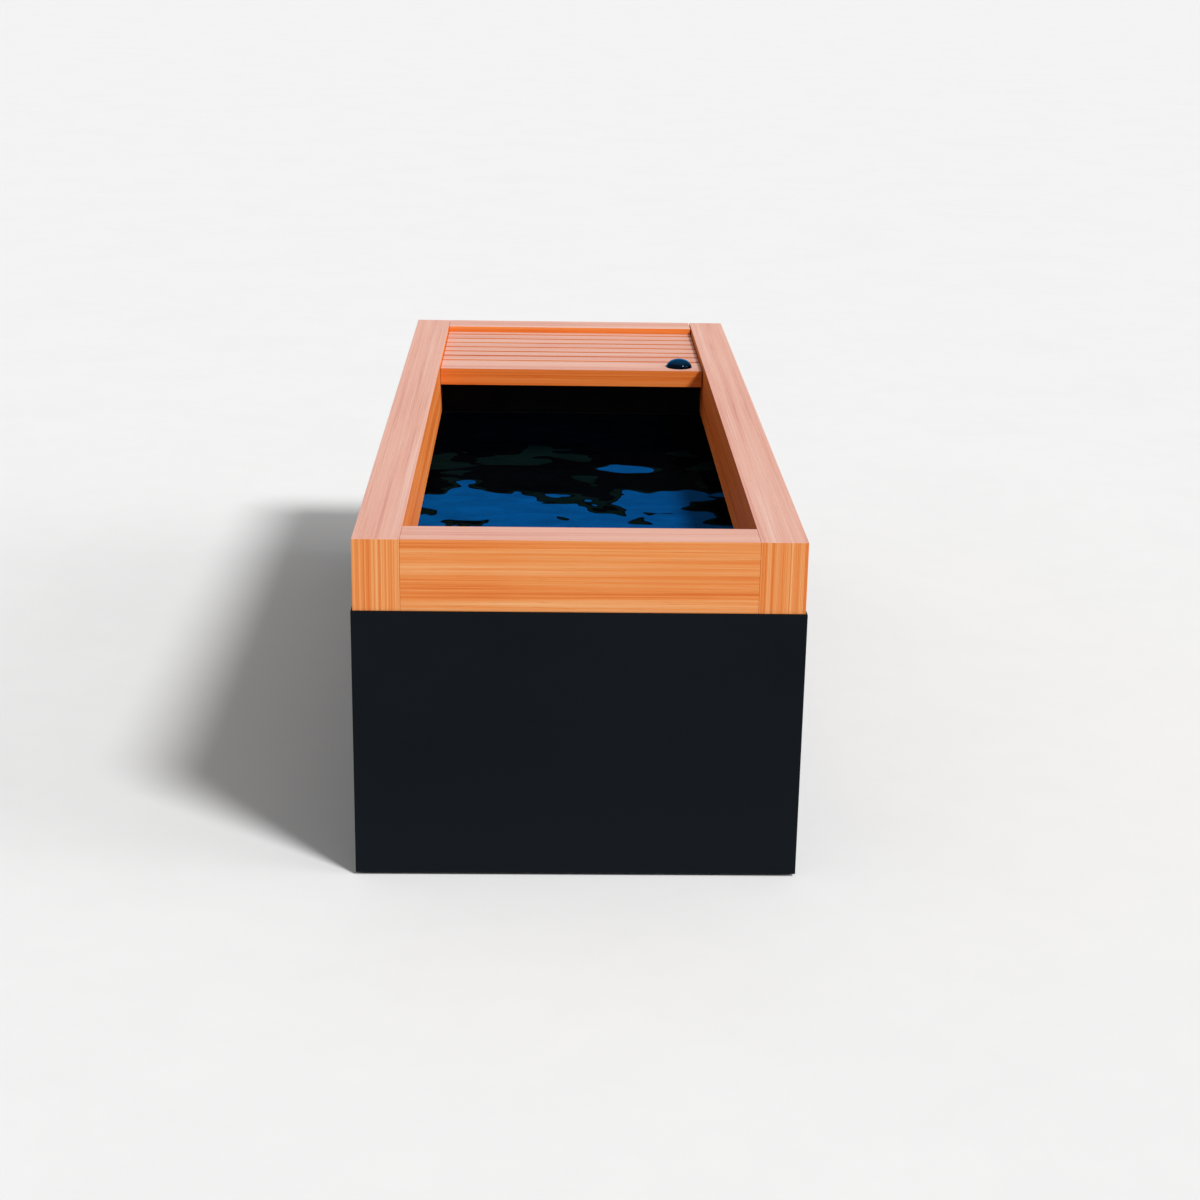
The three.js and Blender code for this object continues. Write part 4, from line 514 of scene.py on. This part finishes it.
# Hose clamps: a band, and a screw barrel on it, at both ends of each hose
def make_clamps(skin):
    in_from_tip = 0.011
    pump_inlet_height, pump_outlet_inset = 0.062, 0.014
    filter_port_inset, filter_inlet_height, filter_outlet_height = 0.080, 0.240, 0.150
    exchanger_inlet_height, exchanger_outlet_inset = 0.150, 0.060
    spots = []
    for fitting in ("suction_fitting", "return_socket"):
        low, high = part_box(fitting)
        spots.append(((low.x + high.x) / 2, high.y - in_from_tip, (low.z + high.z) / 2, "Y"))
    low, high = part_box("pump_casing")
    spots.append((low.x + in_from_tip, (low.y + high.y) / 2, low.z + pump_inlet_height, "X"))
    spots.append((high.x - pump_outlet_inset, (low.y + high.y) / 2, high.z - in_from_tip, "Z"))
    low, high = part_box("filter_housing")
    spots.append((high.x - filter_port_inset, low.y + in_from_tip, low.z + filter_inlet_height, "Y"))
    spots.append((low.x + in_from_tip, high.y - filter_port_inset, low.z + filter_outlet_height, "X"))
    low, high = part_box("heat_exchanger")
    spots.append((high.x - in_from_tip, (low.y + high.y) / 2, low.z + exchanger_inlet_height, "X"))
    spots.append((low.x + exchanger_outlet_inset, (low.y + high.y) / 2, high.z - in_from_tip, "Z"))
    inside, outside, half, eased = 0.0167, 0.0180, 0.0045, 0.0005
    band = [(inside, -half), (outside - eased, -half), (outside, -half + eased)]
    band += [(radius, -height) for radius, height in band[::-1]]
    barrel, reach, chamfer, head = 0.0032, 0.0065, 0.001, 0.003
    tip, neck = barrel * 0.8, barrel * 0.7
    screw = [(0, -reach), (tip, -reach), (barrel, -reach + chamfer), (barrel, reach - head)]
    screw += [(neck, reach - head), (neck, reach), (0, reach)]
    for i, (x, y, z, axis) in enumerate(spots):
        place = Vector((x, y, z))
        aside = Vector((0, outside + barrel, 0)) if axis == "Z" else Vector((0, 0, outside + barrel))
        revolve(f"hose_clamp_{i + 1}", band, place, skin, "tub", axis, 40)
        across = "Y" if axis == "X" else "X"
        revolve(f"clamp_screw_{i + 1}", screw, place + aside, skin, "tub", across, 16)


# Pan head screw with a cross recess, seated on the rear panel
def make_screw(name, x, z, skin):
    radius, rise, depth, sunk = 0.0038, 0.0021, 0.0014, 0.0003
    core, wing, taper = 0.20, 0.36, 0.8
    steps = 24
    mesh = bmesh.new()

    def recess(turn):
        return radius * (core + wing * math.cos(2 * turn) ** 6)

    def ring(reach, height):
        turns = [2 * math.pi * i / steps for i in range(steps)]
        return [mesh.verts.new((reach(a) * math.cos(a), reach(a) * math.sin(a), height)) for a in turns]

    # Share of the radius, and height
    outline = ((1.0, -sunk), (1.0, rise * 0.4), (0.86, rise * 0.82), (0.66, rise))
    rings = [ring(lambda turn, share=share: radius * share, height) for share, height in outline]
    rings += [ring(recess, rise), ring(lambda turn: recess(turn) * taper, rise - depth)]
    for low, high in zip(rings, rings[1:]):
        for i in range(steps):
            j = (i + 1) % steps
            mesh.faces.new((low[i], low[j], high[j], high[i]))
    mesh.faces.new(rings[0][::-1])
    mesh.faces.new(rings[-1])
    bmesh.ops.recalc_face_normals(mesh, faces=mesh.faces)
    place = Vector((x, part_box("rear_panel")[1].y, z))
    mesh.transform(Matrix.Translation(place) @ turned("Y"))
    mesh_object(name, mesh, skin, "tub")


# Screws round the two openings of the rear panel, and down its two edges
def make_screws(skin):
    spots = []
    for node in ("service_recess", "vent_grille"):
        low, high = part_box(node)
        into_lip = 0.005
        for x in (low.x + into_lip, high.x - into_lip):
            spots += [(x, low.z + into_lip), (x, high.z - into_lip)]
    low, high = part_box("rear_panel")
    into_post, from_end, rows = 0.021, 0.055, 4
    for x in (low.x + into_post, high.x - into_post):
        reach = high.z - low.z - 2 * from_end
        spots += [(x, low.z + from_end + reach * i / (rows - 1)) for i in range(rows)]
    for i, (x, z) in enumerate(spots):
        make_screw(f"panel_screw_{i + 1}", x, z, skin)


# Thread on the drain valve's outlet
def make_thread(skin):
    low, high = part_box("drain_valve")
    inside, root, crest, pitch, turns, start = 0.0128, 0.0131, 0.0137, 0.0022, 5, 0.0026
    from_mouth = 0.0012
    reach = start + turns * pitch
    ridge = [(inside, 0.0)]
    for i in range(turns):
        foot = start + i * pitch
        ridge += [(root, foot), (crest, foot + pitch * 0.4), (crest, foot + pitch * 0.6)]
    ridge += [(root, reach), (inside, reach)]
    place = Vector(((low.x + high.x) / 2, high.y - reach - from_mouth, (low.z + high.z) / 2))
    revolve("valve_thread", ridge, place, skin, "tub", "Y", 48)


# Floor and light: a pale level floor, a soft sun from the right and a weaker, softer fill lower down
def make_stage():
    reach, below = 150, 0.0005
    data = bpy.data.meshes.new("floor")
    corners = [(x * reach, y * reach, -below) for x, y in ((-1, -1), (1, -1), (1, 1), (-1, 1))]
    data.from_pydata(corners, [], [(0, 1, 2, 3)])
    floor = bpy.data.objects.new("floor", data)
    scene.collection.objects.link(floor)
    pale, paler = (0.78, 0.78, 0.78), (0.80, 0.80, 0.80)
    data.materials.append(textured("studio_floor", pale, paler, (0.85, 0.95), 2.0, 0.0, shine=0.05))
    world = bpy.data.worlds.new("studio")
    world.use_nodes = True
    scene.world = world
    tree = world.node_tree
    background = tree.nodes["Background"]
    background.inputs["Color"].default_value = (1.0, 1.0, 1.0, 1)
    path = tree.nodes.new("ShaderNodeLightPath")
    seen = sums(tree, "MAXIMUM", path.outputs["Is Camera Ray"], path.outputs["Is Glossy Ray"])
    seen = sums(tree, "MAXIMUM", seen, path.outputs["Is Transmission Ray"])
    put(tree, background.inputs["Strength"], mixed(tree, seen, WORLD_LIGHT, WORLD_SEEN))
    # Name, strength, width in radians, and the way the light travels
    lamps = (("sun", 3.05, 0.22, (-0.50, 0.50, -0.70)), ("fill", 0.90, 0.60, (-0.92, 0.15, -0.36)))
    for name, energy, angle, travel in lamps:
        lamp = bpy.data.lights.new(name, "SUN")
        lamp.energy = energy
        lamp.angle = angle
        light = bpy.data.objects.new(name, lamp)
        light.rotation_euler = Vector(travel).to_track_quat("-Z", "Y").to_euler()
        scene.collection.objects.link(light)


# Welds a solid's facets and smooths its round faces, and keeps steep edges crisp
def smoothing():
    weld_distance = 0.00001
    group = bpy.data.node_groups.new("smooth_rounds", "GeometryNodeTree")
    for way in ("INPUT", "OUTPUT"):
        group.interface.new_socket("Geometry", in_out=way, socket_type="NodeSocketGeometry")
    weld = group.nodes.new("GeometryNodeMergeByDistance")
    weld.inputs["Distance"].default_value = weld_distance
    plain = group.nodes.new("GeometryNodeRemoveAttribute")
    plain.inputs["Name"].default_value = "custom_normal"
    faces = group.nodes.new("GeometryNodeSetShadeSmooth")
    edges = group.nodes.new("GeometryNodeSetShadeSmooth")
    edges.domain = "EDGE"
    crisp = group.nodes.new("GeometryNodeSetShadeSmooth")
    crisp.domain = "EDGE"
    crisp.inputs["Shade Smooth"].default_value = False
    bend = group.nodes.new("GeometryNodeInputMeshEdgeAngle")
    steep = group.nodes.new("FunctionNodeCompare")
    steep.operation = "GREATER_THAN"
    steep.inputs[1].default_value = math.radians(CRISP_ANGLE)
    group.links.new(bend.outputs["Unsigned Angle"], steep.inputs[0])
    group.links.new(steep.outputs["Result"], crisp.inputs["Selection"])
    entry = group.nodes.new("NodeGroupInput")
    leave = group.nodes.new("NodeGroupOutput")
    chain = [entry, weld, plain, faces, edges, crisp, leave]
    for before, after in zip(chain, chain[1:]):
        group.links.new(before.outputs[0], after.inputs[0])
    return group


# Eased edges on boards and panels
def ease(names, width):
    flat_angle, corner_angle = math.radians(0.5), math.radians(40)
    for name in names:
        flat = nodes[name].modifiers.new("flat_faces", "DECIMATE")
        flat.decimate_type = "DISSOLVE"
        flat.angle_limit = flat_angle
        edge = nodes[name].modifiers.new("eased_edges", "BEVEL")
        edge.width = width
        edge.segments = 2
        edge.limit_method = "ANGLE"
        edge.angle_limit = corner_angle
        edge.harden_normals = True


# Finishes of the carried-over solids
def dress(names, skin):
    for name in names:
        node = nodes[name]
        node.data.materials.clear()
        node.data.materials.append(skin)


# Each board has its own seed, so that no two have the same grain
def dress_timber():
    side_seed, cross_seed, softwood_seed = 1.3, 4.7, 21.0
    slat_share = 0.5
    for seed, (name, inner) in enumerate(zip(SIDE_RAILS, (1, -1))):
        dress([name], cedar(f"cedar_{name}", "Y", seed + side_seed, inner=inner))
    # Boards that face into the well take this much of the well tones' painted light, and the slats take
    # slat_share
    in_well = {"front_rail": 0.0, "rear_rail": 0.9, "header": 0.9}
    for seed, name in enumerate(CROSS_BOARDS):
        dress([name], cedar(f"cedar_{name}", "X", seed + cross_seed, in_well.get(name, slat_share)))
    # Battens and cleats take 0.3 of the painted top sheen
    softwood = cedar("softwood", "Y", softwood_seed, top=0.3)
    dress(["left_batten", "right_batten", "left_cleat", "right_cleat"], softwood)


def dress_body():
    dress(PANELS, cladding())
    dress(["basin", "bulkhead"], textured(
        "liner", (0.0007, 0.0010, 0.0016), (0.0014, 0.0018, 0.0026), (0.35, 0.5), 160, 0.1, shine=0.08))
    dress(["base_board"], textured(
        "sealed_plywood", (0.030, 0.022, 0.016), (0.060, 0.046, 0.034), (0.6, 0.8), 40, 0.3,
        depth=0.0006, stretch=(0.2, 1, 1)))
    dress(["foam_jacket"], textured(
        "foam", (0.62, 0.55, 0.36), (0.76, 0.70, 0.50), (0.85, 0.95), 180, 0.6, depth=0.001))
    dress(POSTS, textured("zinc", (0.34, 0.36, 0.37), (0.52, 0.54, 0.56), (0.35, 0.55), 60, 0.1, metal=0.9))
    dress(["left_skid", "right_skid"], textured(
        "runner_plastic", (0.012, 0.012, 0.012), (0.024, 0.024, 0.024), (0.7, 0.85), 220, 0.3))


def dress_works(brass, wire):
    black_parts = ["suction_fitting", "return_socket", "drain_sump", "button_housing", "fan_rotor"]
    black_parts += ["pump_casing", "filter_cap", "service_recess", "power_inlet"]
    dress(black_parts, textured(
        "black_moulding", (0.007, 0.0075, 0.008), (0.014, 0.0145, 0.016), (0.38, 0.52), 420, 0.18))
    dress(["return_eyeball", "pump_impeller", "drain_pipe", "control_box"], textured(
        "grey_moulding", (0.22, 0.235, 0.25), (0.31, 0.325, 0.34), (0.38, 0.52), 420, 0.15))
    dress(["heat_exchanger", "filter_housing"], textured(
        "white_moulding", (0.70, 0.70, 0.67), (0.80, 0.80, 0.77), (0.32, 0.46), 300, 0.1))
    dress(["drain_valve"], brass)
    dress(["condenser"], textured(
        "fin_stock", (0.42, 0.44, 0.46), (0.60, 0.62, 0.64), (0.3, 0.45), 200, 0.1,
        metal=0.95, stretch=(1, 1, 0.1)))
    dress(["compressor", "fan_shroud", "vent_grille", "pump_motor"], textured(
        "black_coated_steel", (0.006, 0.0065, 0.007), (0.013, 0.0135, 0.0145), (0.3, 0.45), 380, 0.2,
        metal=0.3))
    dress(HOSES, textured(
        "hose_rubber", (0.010, 0.011, 0.012), (0.022, 0.023, 0.025), (0.6, 0.78), 520, 0.4))
    dress(["filter_cartridge"], textured(
        "filter_paper", (0.62, 0.68, 0.72), (0.78, 0.82, 0.84), (0.8, 0.92), 600, 0.4))
    dress(["valve_lever"], textured(
        "red_dip", (0.28, 0.018, 0.012), (0.40, 0.030, 0.020), (0.35, 0.5), 300, 0.15))
    dress(["button_spring"], wire)


make_camera()
brass = textured("brass", (0.42, 0.26, 0.08), (0.58, 0.38, 0.14), (0.22, 0.38), 260, 0.1, metal=0.95)
screw_steel = textured(
    "screw_steel", (0.020, 0.021, 0.022), (0.036, 0.037, 0.039), (0.25, 0.4), 500, 0.1, metal=0.6)
wire = textured("spring_wire", (0.45, 0.46, 0.47), (0.62, 0.63, 0.64), (0.2, 0.32), 500, 0.05, metal=1.0)
steel = textured("clamp_steel", (0.45, 0.46, 0.47), (0.62, 0.63, 0.64), (0.2, 0.35), 400, 0.05, metal=1.0)
dress_timber()
dress_body()
dress_works(brass, wire)
rounds = smoothing()
for node in nodes.values():
    node.modifiers.new("smooth_rounds", "NODES").node_group = rounds
ease(SIDE_RAILS + ["front_rail", "rear_rail"], RAIL_EASE)
ease(SLATS + ["header"], DECK_EASE)
ease(PANELS, PANEL_EASE)
make_water(water_surface())
make_dome(gloss_black())
make_coil(wire)
make_clamps(steel)
make_screws(screw_steel)
make_thread(brass)
make_stage()
